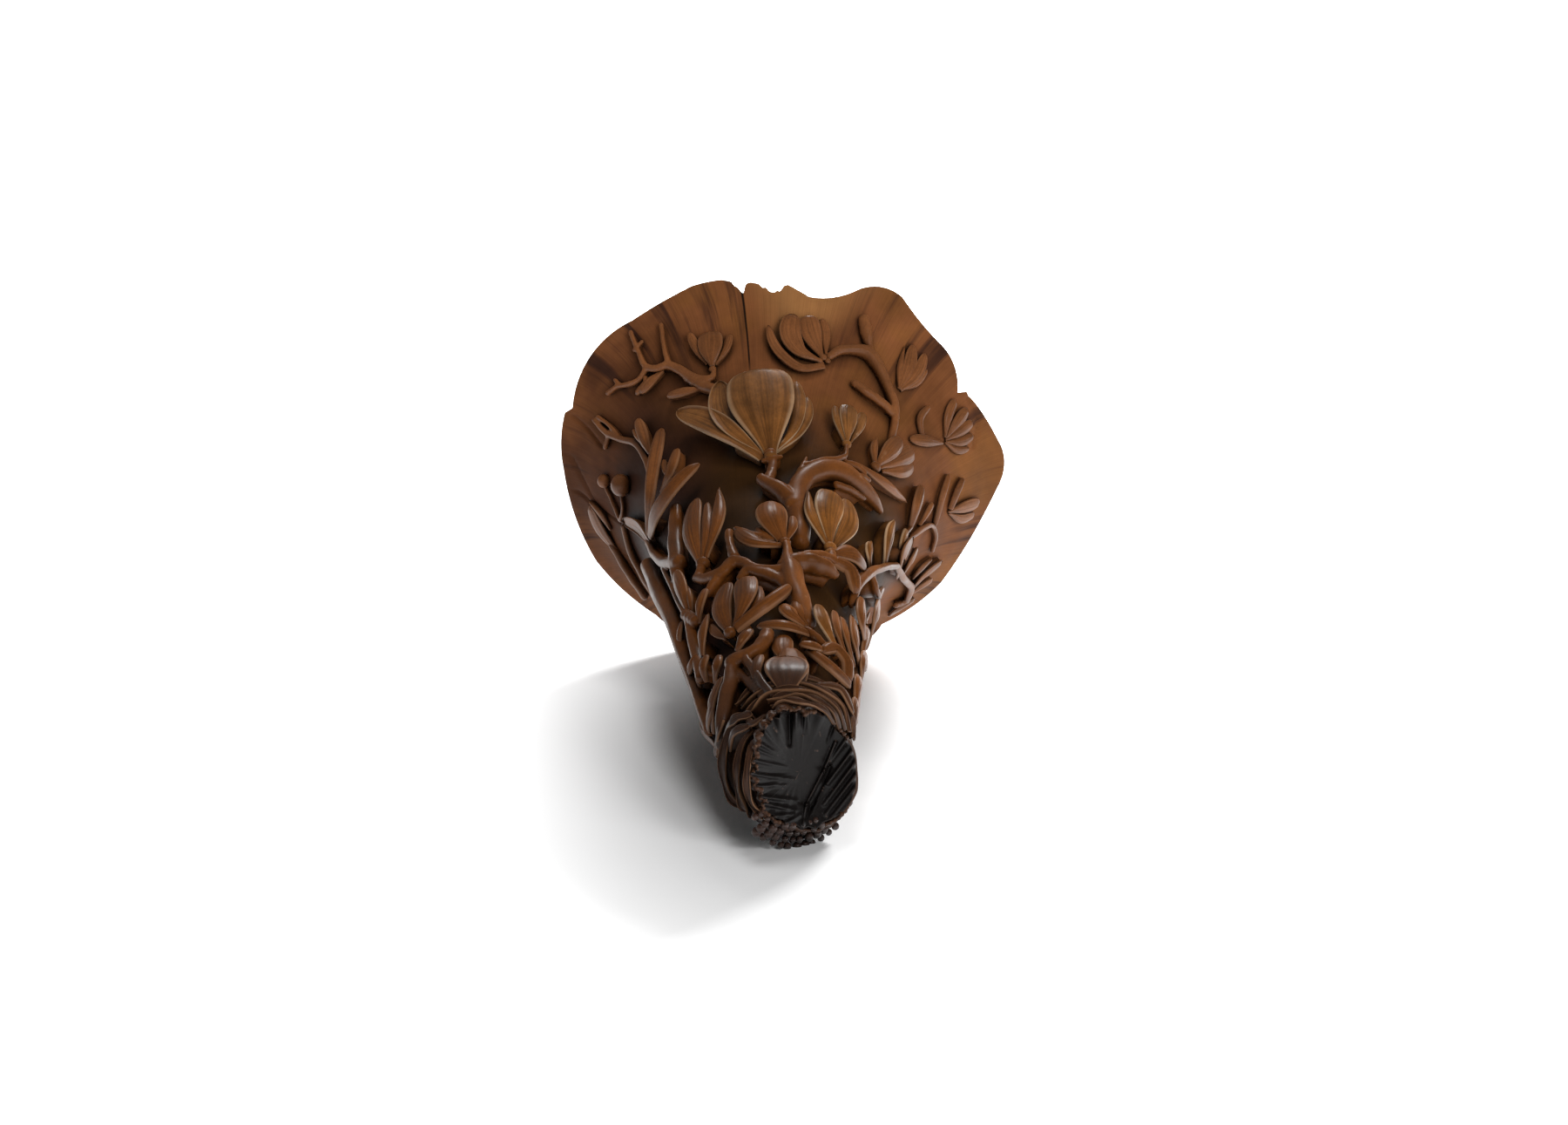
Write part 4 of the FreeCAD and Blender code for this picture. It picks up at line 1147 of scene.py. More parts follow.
    def cut_grooves(self, outer: np.ndarray, normal: np.ndarray, ground: Ground) -> np.ndarray:
        """Cuts the fine lines into the outside.

        Args:
            outer: the outside's points, row by row.
            normal: the directions off the horn there.
            ground: the plain horn.

        Returns:
            The points with the lines cut in.
        """
        cut = np.zeros(outer.shape[:2])
        for groove in self.grooves:
            spine = np.array([ground.touch(u, v, 0.0)[0][:] for u, v in groove])
            line = route(spine, np.linspace(0, 1, 80))
            low, high = line.min(0) - self.groove_reach, line.max(0) + self.groove_reach
            near = ((outer > low) & (outer < high)).all(-1)
            if not near.any():
                continue
            gaps = np.linalg.norm(outer[near][:, None, :] - line[None], axis=-1).min(1)
            cut[near] = np.maximum(cut[near], np.exp(-((gaps / self.groove_half) ** 2)))
        return outer - normal * (cut * self.groove_depth)[..., None]


@dataclass
class Workshop:
    """What every carved piece needs: the horn that carries it, and the finishes of the relief."""

    ground: Ground
    finishes: dict[Slot, bpy.types.Material] = field(init=False)
    softening: int = 7  # how often a branch's skin is smoothed
    count: int = 0  # pieces carved so far

    def __post_init__(self) -> None:
        """Makes the finishes."""
        self.finishes = {
            Slot.HORN: CarvedHorn("carved_waxed_horn", mouth="#784a29", neck="#653915", tip="#3c2517",
                                  recess="#0f0804", worn="#916b4e").make(),
            Slot.HONEY: CarvedHorn("honey_carved_horn", mouth="#7c522d", neck="#70451d", tip="#5a3c24",
                                   recess="#1c110a", worn="#c6a785", cloud_mm=14.0, gloss=0.2, coat=0.03,
                                   vein=0.4).make(),
            Slot.DARK: CarvedHorn("dark_tip_horn", mouth="#201a19", neck="#1f1a18", tip="#13100f",
                                  recess="#070505", worn="#55433a", vein=0.15, wear_and_highlight=0.5, roughness=0.3,
                                  gloss=0.15, coat=0.03).make(),
        }

    def settle(self, thing: bpy.types.Object, slot: Slot, *nodes: str) -> None:
        """Dresses a piece and ties it to the cup.

        Args:
            thing: the piece.
            slot: the finish that it takes.
            nodes: the solids that it stands for.
        """
        points = np.zeros(len(thing.data.vertices) * 3, np.float32)
        thing.data.vertices.foreach_get("co", points)
        points[2::3] = np.maximum(points[2::3], 0.0)
        thing.data.vertices.foreach_set("co", points)
        thing.data.materials.clear()
        thing.data.materials.append(self.finishes[slot])
        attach(thing, BODY)
        if nodes:
            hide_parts(*nodes)
        log.info("%s: %d faces", thing.name, len(thing.data.polygons))

    def next_grain(self) -> float:
        """Counts a piece, and gives it the number that sets its own grain."""
        self.count += 1
        return (self.count * 0.37) % 1.0

    def petals(self, name: str, petals: Sequence[Petal], slot: Slot = Slot.HORN, replaced: bool = True,
               anchor: Anchor = Anchor.PHOTO, balls: Sequence[tuple[float, float, float, float, float]] = ()) -> None:
        """Carves petals, leaves and beads as one piece.

        Args:
            name: the solid that it stands for, or its own name.
            petals: the blades.
            slot: its finish.
            replaced: whether it stands for the solid of that name.
            anchor: what the spines mean.
            balls: beads, each a pixel or place, lift, radius and squash.
        """
        clay = Clay()
        for petal in petals:
            carve_petal(clay, self.ground, petal, anchor, self.next_grain())
        read = self.ground.touch if anchor is Anchor.PHOTO else self.ground.seat
        for *place, radius, squash in balls:
            carve_ball(clay, *read(*place), radius, squash, self.next_grain())
        self.settle(clay.fire(f"carved_{name}"), slot, *([name] if replaced else []))

    def limbs(self, name: str, limbs: Sequence[Sequence[WideSpot]], anchor: Anchor = Anchor.PHOTO,
              voxel: float = 0.42) -> None:
        """Carves limbs that grow out of each other as one piece.

        Args:
            name: the solid that it stands for.
            limbs: the limbs' points, each with its width.
            anchor: what the points mean.
            voxel: size of the skin's faces, in millimetres.
        """
        clay = Clay()
        for spine in limbs:
            self.count += 1
            carve_limb(clay, self.ground, spine, anchor, self.count * 1.7)
        thing = clay.fire(f"carved_{name}")
        melt(thing, voxel, self.softening)
        self.settle(thing, Slot.HORN, name)


@dataclass
class MagnoliaSpray:
    """The great magnolia over the neck, its stalk and the branch that it grows from."""

    shop: Workshop
    front: tuple[Petal, ...] = (
        Petal(((890, 520, 2), (915, 498, 4), (926, 476, 5.5), (927, 456, 6)), 15, SPOON, 0.3),
        Petal(((888, 520, 2.5), (909, 496, 5), (917, 467, 6.5), (914, 438, 7)), 17, SPOON, 0.3, lip=0.2),
        Petal(((884, 521, 3.2), (879, 490, 7), (874, 460, 9), (871, 425, 9.6)), 78, FAN, 0.2, lip=0.45,
              thick=2.0, crease=1.1, crease_at=-0.14),
    )
    left: tuple[Petal, ...] = (
        Petal(((880, 522, 2.8), (850, 500, 6), (830, 472, 7.6), (826, 439, 7.8)), 31, SPOON, -0.15, lip=0.7,
              thick=1.6),
        Petal(((876, 527, 2.4), (846, 504, 6), (806, 481, 7), (779, 473, 7)), 34, ROUND, -0.16, lip=0.9,
              thick=1.8),
    )
    stalk: tuple[tuple[WideSpot, ...], ...] = (
        ((884, 521, 3.8, 15), (887, 529, 3.4, 11), (886, 541, 3, 12), (882, 552, 3.4, 15)),
        ((876, 529, 3.4, 6), (887, 526, 4.4, 6), (897, 524, 3.4, 5)),
    )
    branch: tuple[tuple[WideSpot, ...], ...] = (
        ((875, 550, 3.8, 15), (886, 557, 3.8, 18), (900, 566, 3.6, 22), (913, 580, 2.8, 26), (917, 600, 1.4, 26),
         (918, 622, 0.4, 24)),
        ((912, 582, 3.2, 24), (917, 560, 4.2, 24), (929, 545, 5, 24), (948, 540, 5.4, 26), (968, 545, 5.2, 28),
         (986, 557, 4.6, 24), (1001, 573, 3.6, 17), (1010, 586, 2.4, 9)),
        ((926, 534, 4.6, 8), (944, 529, 5.2, 9), (960, 527, 5.2, 8), (970, 523, 4.8, 6), (972, 511, 4.4, 6)),
        ((913, 550, 4.4, 9), (920, 538, 4.8, 8), (926, 525, 4.2, 4)),
        ((960, 556, 5.6, 9), (976, 562, 5.2, 9), (991, 572, 4.4, 7)),
        ((972, 532, 3.4, 9), (982, 535, 4.2, 10), (992, 543, 4.2, 8)),
        ((974, 545, 3.4, 8), (985, 546, 4, 8), (997, 551, 3.6, 7)),
    )

    def build(self) -> None:
        """Carves the spray."""
        self.shop.petals("magnolia_blossom", self.front, Slot.HONEY, balls=((885, 524, 4.0, 2.4, 0.8),))
        self.shop.petals("magnolia_left_petal", self.left, Slot.HONEY)
        self.shop.limbs("magnolia_stalk", self.stalk)
        self.shop.limbs("centre_branch", self.branch)
        self.shop.petals("centre_long_leaf", (
            Petal(((984, 533, 4.2), (1010, 551, 3.6), (1041, 577, 2)), 15, BLADE, 0.4),))


@dataclass
class UpperSprays:
    """The blossoms, buds and branches on the flare above the great magnolia."""

    shop: Workshop

    def build(self) -> None:
        """Carves the sprays."""
        shop = self.shop
        shop.petals("upper_left_blossom", (
            Petal(((812, 419, 1.2), (801, 402, 2.2), (791, 382, 2.2)), 11, SPOON, 0.3, lip=0.2),
            Petal(((822, 419, 1.2), (833, 402, 2.2), (839, 384, 2.2)), 10, SPOON, 0.3, lip=0.2),
            Petal(((818, 421, 1.6), (816, 402, 3.4), (815, 381, 3.4)), 30, FAN, 0.24, lip=0.2,
                  crease_at=0.05)),
            balls=((818, 424, 1.8, 1.5, 0.8),))
        shop.limbs("upper_left_branch", (
            ((820, 424, 1.4, 6), (817, 434, 2.2, 9), (806, 437, 2.6, 13), (792, 432, 2.8, 12), (779, 424, 2.8, 11),
             (766, 419, 2.8, 10), (753, 423, 2.8, 9), (742, 421, 2.6, 8), (733, 404, 2.2, 6), (724, 381, 1.8, 6)),
            ((768, 420, 2.6, 8), (763, 402, 2.4, 6), (759, 373, 1.8, 6)),
            ((743, 421, 2.4, 8), (735, 434, 2.4, 7), (722, 441, 2.2, 7), (710, 443, 2, 6), (698, 451, 1.6, 7)),
            ((790, 434, 2.2, 12), (806, 443, 2.2, 14), (824, 449, 1.8, 14)),
            ((728, 402, 2, 5), (737, 392, 2, 5)),
            ((712, 443, 2, 6), (706, 436, 1.8, 5))))
        shop.petals("upper_left_fan_leaf", (
            Petal(((738, 428, 1.4), (742, 438, 2), (730, 453, 1.6)), 10, SPOON, 0.3),
            Petal(((762, 426, 1.6), (748, 437, 2.4), (735, 451, 2)), 14, SPOON, 0.3),
            Petal(((806, 446, 1.6), (785, 450, 2.8), (766, 455, 2.4)), 13, ROUND, 0.4)))
        shop.petals("upper_right_outer_petal", (
            Petal(((946, 420, 1.2), (918, 422, 2.4), (898, 408, 2.8), (886, 390, 2.6), (882, 374, 2)), 12,
                  STRAP, 0.25, lip=0.35),))
        shop.petals("upper_right_inner_petal", (
            Petal(((942, 415, 1.6), (917, 402, 3), (907, 382, 3.2), (910, 361, 2.4)), 25, FAN, 0.2,
                  lip=0.4, crease_at=-0.3),))
        shop.petals("upper_right_blossom", (
            Petal(((948, 409, 1.2), (947, 388, 1.8), (944, 366, 1.4)), 14, SPOON, 0.3),
            Petal(((944, 411, 1.8), (933, 388, 3.4), (927, 362, 2.8)), 25, FAN, 0.22, crease_at=0.3)),
            balls=((941, 414, 1.6, 1.2, 0.7), (945, 410, 2.0, 1.5, 0.6), (950, 414, 1.6, 1.2, 0.7),
                   (949, 407, 1.4, 1.1, 0.7), (943, 417, 1.2, 1.0, 0.7)))
        shop.limbs("upper_right_branch", (
            ((952, 410, 1.8, 9), (963, 403, 2.4, 12), (978, 401, 2.8, 13), (994, 404, 3, 17), (1008, 421, 2.8, 15),
             (1019, 443, 2.6, 12), (1026, 463, 2.4, 12), (1027, 485, 1.9, 10), (1022, 507, 1, 9)),
            ((981, 440, 2, 10), (996, 451, 2.4, 11), (1013, 463, 2.4, 11), (1024, 474, 2.2, 10)),
            ((1000, 404, 2.6, 8), (998, 394, 2.2, 7))))
        shop.limbs("upper_right_bud", (((998, 399, 2, 8), (995, 384, 2.4, 14), (992, 367, 1.8, 14)),))
        shop.petals("far_right_blossom", (
            Petal(((1031, 446, 0.3), (1033, 424, 0.8), (1038, 397, 0.4)), 8, BLADE, 0.3),
            Petal(((1032, 447, 0.3), (1043, 422, 1.1), (1048, 396, 0.6)), 17, ROUND, 0.2, lip=0.2),
            Petal(((1033, 448, 0.3), (1052, 430, 1.1), (1062, 406, 0.6)), 15, ROUND, 0.2, lip=0.2),
            Petal(((1034, 448, 0.2), (1050, 441, 0.7), (1064, 424, 0.4)), 9, SPOON, 0.25)))
        shop.petals("right_edge_blossom", (
            Petal(((1084, 502, 0.4), (1088, 480, 1), (1096, 458, 0.6)), 13, SPOON, 0.25),
            Petal(((1085, 503, 0.4), (1098, 485, 1.3), (1110, 469, 1)), 15, SPOON, 0.3, lip=0.2),
            Petal(((1085, 505, 0.4), (1101, 495, 1.3), (1116, 484, 1)), 14, SPOON, 0.3, lip=0.2),
            Petal(((1085, 507, 0.4), (1101, 507, 1.2), (1117, 500, 0.9)), 13, SPOON, 0.3),
            Petal(((1084, 508, 0.3), (1098, 516, 0.9), (1112, 515, 0.6)), 10, SPOON, 0.3),
            Petal(((1082, 509, 0.6), (1062, 506, 1.4), (1044, 504, 1)), 14, SPOON, 0.2, lip=0.2),
            Petal(((1058, 502, 0.6), (1056, 482, 1.6), (1067, 466, 1.2)), 9, STRAP, 0.4)))


@dataclass
class LeftSpray:
    """The twig, bud, berries and stems on the left of the flare, and the bamboo below them."""

    shop: Workshop

    def build(self) -> None:
        """Carves the spray."""
        shop = self.shop
        shop.limbs("left_twig", (
            ((682, 482, 1, 6), (697, 497, 1.6, 8), (712, 504, 2, 8), (728, 508, 2.2, 9), (741, 525, 2.2, 9),
             (747, 548, 2, 8)),
            ((699, 499, 1.4, 6), (695, 513, 1.2, 7)),
            ((712, 503, 1.6, 6), (700, 489, 1.6, 5), (686, 478, 1, 5))))
        shop.petals("left_scroll_bud", (
            Petal(((747, 521, 2.2), (739, 502, 3.8), (732, 481, 3.4)), 17, ROUND, 0.45),
            Petal(((741, 510, 3.4), (733, 502, 4.2), (728, 493, 3.6)), 7, STRAP, 0.6)))
        shop.petals("left_berries", (), balls=((693, 552, 1.4, 2.7, 0.9), (713, 557, 2.2, 4.3, 0.9)))
        shop.limbs("left_berry_stalks", (
            ((694, 556, 0.8, 5), (703, 576, 1.2, 5), (712, 597, 1.6, 6)),
            ((713, 566, 0.8, 5), (715, 582, 1.2, 5), (713, 597, 1.6, 6))))
        shop.limbs("left_stem", (
            ((703, 626, 0.8, 9), (720, 654, 1.2, 11), (740, 684, 1.2, 10)),
            ((716, 604, 1.4, 7), (722, 628, 1.4, 8), (735, 655, 1.4, 9), (752, 684, 1.4, 9))))
        shop.petals("left_rim_leaves", (
            Petal(((708, 632, 0.4), (690, 608, 1.2), (677, 580, 0.8)), 22, ROUND, 0.2, lip=0.3),
            Petal(((702, 608, 0.6), (690, 590, 1.2), (676, 574, 0.8)), 9, BLADE, 0.3),
            Petal(((748, 626, 2.2), (733, 606, 3.2), (716, 597, 2.2)), 16, ROUND, -0.25, lip=0.6)),
            replaced=False)
        shop.petals("bamboo_upper_leaf", (
            Petal(((746, 614, 2.2), (748, 572, 4.8), (753, 528, 6), (760, 492, 5.2)), 23, ROUND, 0.1,
                  vee=-0.6, thick=1.8, crease=0.8),))
        shop.petals("bamboo_lower_leaf", (
            Petal(((748, 616, 2.2), (760, 582, 5), (780, 554, 6.4), (803, 532, 5.8)), 29, ROUND, 0.1,
                  vee=-0.5, thick=1.8, crease=0.8),))
        shop.petals("left_curled_bud", (
            Petal(((760, 566, 2.6), (770, 542, 4.4), (778, 515, 4)), 17, ROUND, 0.45),
            Petal(((771, 548, 3.6), (764, 539, 4.4), (763, 528, 4)), 8, STRAP, 0.6)))
        shop.limbs("bamboo_stalk", (
            ((776, 584, 1.6, 14), (776, 610, 2.6, 18), (777, 640, 3.2, 19), (779, 664, 2.6, 16)),
            ((744, 622, 2.4, 9), (752, 637, 3, 11), (765, 646, 3.4, 14), (781, 646, 3.4, 20)),
            ((747, 650, 3.0, 24), (756, 674, 3.4, 25), (768, 700, 3.4, 25), (780, 728, 3.2, 24),
             (790, 760, 3, 20), (803, 800, 2.6, 17), (815, 838, 2.2, 14)),
            ((762, 652, 3.6, 8), (778, 688, 4.2, 8), (790, 712, 4.2, 11), (797, 740, 3.8, 14), (806, 778, 3.2, 15)),
            ((788, 706, 4.2, 15), (799, 713, 4.2, 15)),
            ((770, 712, 1.2, 12), (781, 745, 1.2, 13), (793, 785, 1.0, 12))))
        shop.petals("left_small_leaf", (
            Petal(((793, 709, 3), (785, 682, 5.4), (776, 656, 5)), 20, ROUND, 0.35, lip=0.25),
            Petal(((795, 707, 3), (793, 690, 4.4), (787, 672, 4.2)), 9, ROUND, 0.4)))
        shop.petals("left_blossom", (
            Petal(((804, 646, 3), (795, 610, 6.2), (799, 573, 6.2)), 28, ROUND, 0.3, lip=0.25,
                  crease=0.6, crease_at=0.25),
            Petal(((807, 645, 3), (811, 612, 5.6), (812, 577, 5.2)), 14, ROUND, 0.4),
            Petal(((811, 641, 3), (823, 602, 5.6), (826, 559, 5.2)), 18, BLADE, 0.45)),
            balls=((807, 647, 4, 2.5, 1.0),))
        shop.petals("left_lower_leaf", (
            Petal(((803, 716, 3.2), (804, 697, 5.4), (811, 676, 5.4)), 16, ROUND, 0.4, lip=0.2),
            Petal(((807, 753, 3.2), (807, 729, 5.4), (814, 704, 4.8)), 17, BLADE, 0.3, lip=0.25),
            Petal(((786, 752, 3), (781, 733, 4.8), (785, 712, 4.2)), 14, SPOON, 0.3, lip=0.3),
            Petal(((794, 776, 3), (795, 762, 4.8), (801, 750, 4.4)), 13, ROUND, 0.4),
            Petal(((834, 734, 3.4), (824, 728, 4.4), (816, 718, 4)), 11, ROUND, 0.2, lip=0.3)))
        shop.petals("left_neck_leaves", (
            Petal(((812, 783, 2.6), (808, 768, 5), (812, 752, 5)), 15, ROUND, 0.4),
            Petal(((822, 785, 2.6), (823, 768, 5.4), (826, 753, 5)), 15, ROUND, 0.4),
            Petal(((820, 842, 2.2), (818, 810, 4.4), (829, 777, 4)), 22, ROUND, 0.2, lip=0.35),
            Petal(((826, 836, 3), (829, 808, 4.6), (838, 784, 4)), 8, STRAP, 0.4),
            Petal(((806, 792, 1.6), (802, 776, 3.4), (806, 760, 3)), 10, ROUND, 0.4),
            Petal(((812, 860, 1.4), (806, 830, 3), (806, 800, 2.6)), 10, STRAP, 0.3, lip=0.2)),
            replaced=False)


@dataclass
class RightSprays:
    """The buds, petals and fretted branches on the right of the neck and flare."""

    shop: Workshop

    def build(self) -> None:
        """Carves the sprays."""
        shop = self.shop
        shop.petals("centre_right_bud", (
            Petal(((976, 508, 3), (985, 491, 3.6), (991, 474, 2.8)), 14, SPOON, 0.3),
            Petal(((970, 509, 3.4), (962, 488, 5.2), (958, 466, 5)), 10, SPOON, 0.4),
            Petal(((972, 508, 3.8), (973, 488, 5.8), (974, 466, 5.4)), 23, FAN, 0.3, lip=0.2, crease_at=0.1)),
            Slot.HONEY, balls=((972, 510, 4.2, 1.8, 0.9),))
        shop.petals("right_fan_blossom", (
            Petal(((1004, 534, 2), (1003, 518, 3), (1006, 502, 2.6)), 11, BLADE, 0.35),
            Petal(((1012, 541, 1.8), (1030, 541, 2.8), (1047, 534, 2)), 20, SPOON, 0.25, lip=0.2),
            Petal(((1010, 537, 2), (1030, 528, 3.2), (1048, 518, 2.6)), 22, FAN, 0.25, lip=0.2),
            Petal(((1007, 533, 2.2), (1020, 519, 3.8), (1034, 504, 3.2)), 22, ROUND, 0.3, lip=0.2)),
            balls=((1005, 536, 3.0, 2.2, 0.8),))
        shop.petals("lower_right_blossom", (
            Petal(((950, 628, 3.4), (935, 600, 6), (927, 563, 6.6)), 16, BLADE, 0.4),
            Petal(((952, 626, 3.8), (950, 596, 7.2), (955, 566, 7.6)), 38, FAN, 0.3, lip=0.25, crease=0.2),
            Petal(((958, 627, 3.8), (973, 603, 7.4), (972, 574, 7.4)), 27, ROUND, 0.3, lip=0.35,
                  crease=0.5, crease_at=0.3)),
            Slot.HONEY, balls=((953, 629, 4.8, 2.4, 0.9), (953, 636, 4.6, 2.2, 0.9)))
        shop.petals("right_calyx_leaf", (
            Petal(((957, 636, 4.4), (976, 636, 6.2), (992, 653, 5)), 29, ROUND, 0.35, lip=0.2),))
        shop.petals("right_under_leaf", (
            Petal(((956, 645, 5), (973, 655, 6), (981, 682, 4.8)), 23, STRAP, 0.5, thick=2.4),))
        shop.petals("right_yellow_petals", (
            Petal(((998, 652, 2.4), (997, 637, 4), (999, 621, 3.4)), 14, BLADE, 0.3),
            Petal(((1014, 653, 2.4), (1018, 626, 4), (1026, 596, 3.4)), 20, BLADE, 0.3),
            Petal(((1030, 642, 2.4), (1034, 626, 3.4), (1040, 609, 3)), 15, SPOON, 0.3)), Slot.HONEY)
        shop.petals("right_cluster_bud", (
            Petal(((1043, 608, 1.4), (1050, 583, 2.8), (1057, 557, 2.4)), 17, ROUND, 0.6),
            Petal(((1055, 603, 1.2), (1063, 590, 1.8), (1070, 577, 1.4)), 9, SPOON, 0.4),
            Petal(((1072, 602, 1), (1080, 572, 1.8), (1089, 543, 1.2)), 8, STRAP, 0.8),
            Petal(((1090, 584, 0.8), (1097, 566, 1.6), (1105, 548, 1.2)), 8, STRAP, 0.8)))
        shop.petals("right_edge_bud", (
            Petal(((1088, 587, 0.4), (1105, 582, 1.2), (1124, 576, 0.8)), 16, SPOON, 0.25, lip=0.2),
            Petal(((1089, 589, 0.4), (1104, 595, 1.2), (1118, 590, 0.8)), 12, SPOON, 0.25, lip=0.2)))
        shop.limbs("right_fretwork", (
            ((978, 694, 3, 9), (983, 676, 4.8, 11), (996, 660, 5.8, 12), (1012, 652, 5.4, 10), (1029, 649, 4.4, 9)),
            ((1000, 658, 5.2, 9), (1004, 674, 4.8, 10), (1008, 684, 3.8, 9)),
            ((1029, 649, 4, 8), (1036, 662, 3.4, 9), (1041, 668, 2.8, 9), (1046, 674, 2.4, 9), (1040, 690, 1.4, 8)),
            ((1028, 694, 2, 8), (1040, 690, 1.4, 7)),
            ((1046, 616, 1.6, 7), (1058, 607, 2.2, 8), (1071, 604, 1.8, 6), (1074, 618, 1.6, 6), (1070, 632, 1.2, 6)),
            ((1040, 612, 2, 6), (1046, 604, 2, 6))), voxel=0.4)
        shop.petals("right_outlined_petals", (
            Petal(((1030, 662, 2.8), (1035, 640, 4.8), (1047, 617, 4.2)), 20, ROUND, 0.1, lip=0.6),
            Petal(((1033, 662, 2.2), (1044, 645, 3.6), (1052, 629, 3)), 14, SPOON, 0.2, lip=0.4),
            Petal(((1044, 678, 1.4), (1060, 660, 2.4), (1081, 643, 1.8)), 15, SPOON, 0.2, lip=0.4),
            Petal(((1040, 684, 1.2), (1054, 674, 2.2), (1070, 664, 1.8)), 12, SPOON, 0.3, lip=0.2),
            Petal(((1046, 664, 1), (1057, 652, 1.8), (1070, 640, 1.4)), 9, BLADE, 0.3),
            Petal(((1020, 706, 1), (1034, 696, 2), (1050, 686, 1.6)), 11, SPOON, 0.3, lip=0.2),
            Petal(((1005, 698, 1.6), (1008, 684, 3), (1013, 674, 2.6)), 11, ROUND, 0.3)), replaced=False)
        shop.petals("right_lower_petal", (
            Petal(((996, 745, 2.6), (1002, 716, 4.8), (1008, 689, 4.2)), 16, ROUND, 0.2, lip=0.35),
            Petal(((992, 744, 2.8), (988, 716, 5), (988, 686, 4.6)), 20, ROUND, 0.35, lip=0.2),
            Petal(((970, 752, 2.8), (962, 728, 5), (957, 701, 4.8)), 13, ROUND, 0.25, lip=0.3),
            Petal(((980, 766, 2.8), (972, 736, 5), (965, 708, 4.8)), 13, ROUND, 0.2, lip=0.4),
            Petal(((987, 776, 2.6), (982, 744, 5.2), (977, 707, 4.8)), 17, ROUND, 0.2, lip=0.45)))
        shop.petals("right_neck_leaves", (
            Petal(((984, 796, 1.4), (988, 772, 3.6), (992, 750, 3.2)), 19, ROUND, 0.3, lip=0.3),
            Petal(((980, 818, 1.4), (982, 798, 3.6), (985, 778, 3.2)), 18, ROUND, 0.35, lip=0.3),
            Petal(((986, 766, 1.4), (990, 744, 2.8), (995, 722, 2.4)), 18, ROUND, 0.3, lip=0.2),
            Petal(((982, 792, 2.6), (976, 776, 4.2), (975, 758, 4)), 12, ROUND, 0.4),
            Petal(((979, 838, 1.4), (980, 820, 3.2), (981, 802, 3)), 14, ROUND, 0.3, lip=0.3),
            Petal(((978, 832, 0.2), (982, 800, 0.8), (985, 768, 0.8), (989, 738, 0.6), (994, 712, 0.2)), 15,
                  STRAP, 0.4, thick=2.4)),
            replaced=False)


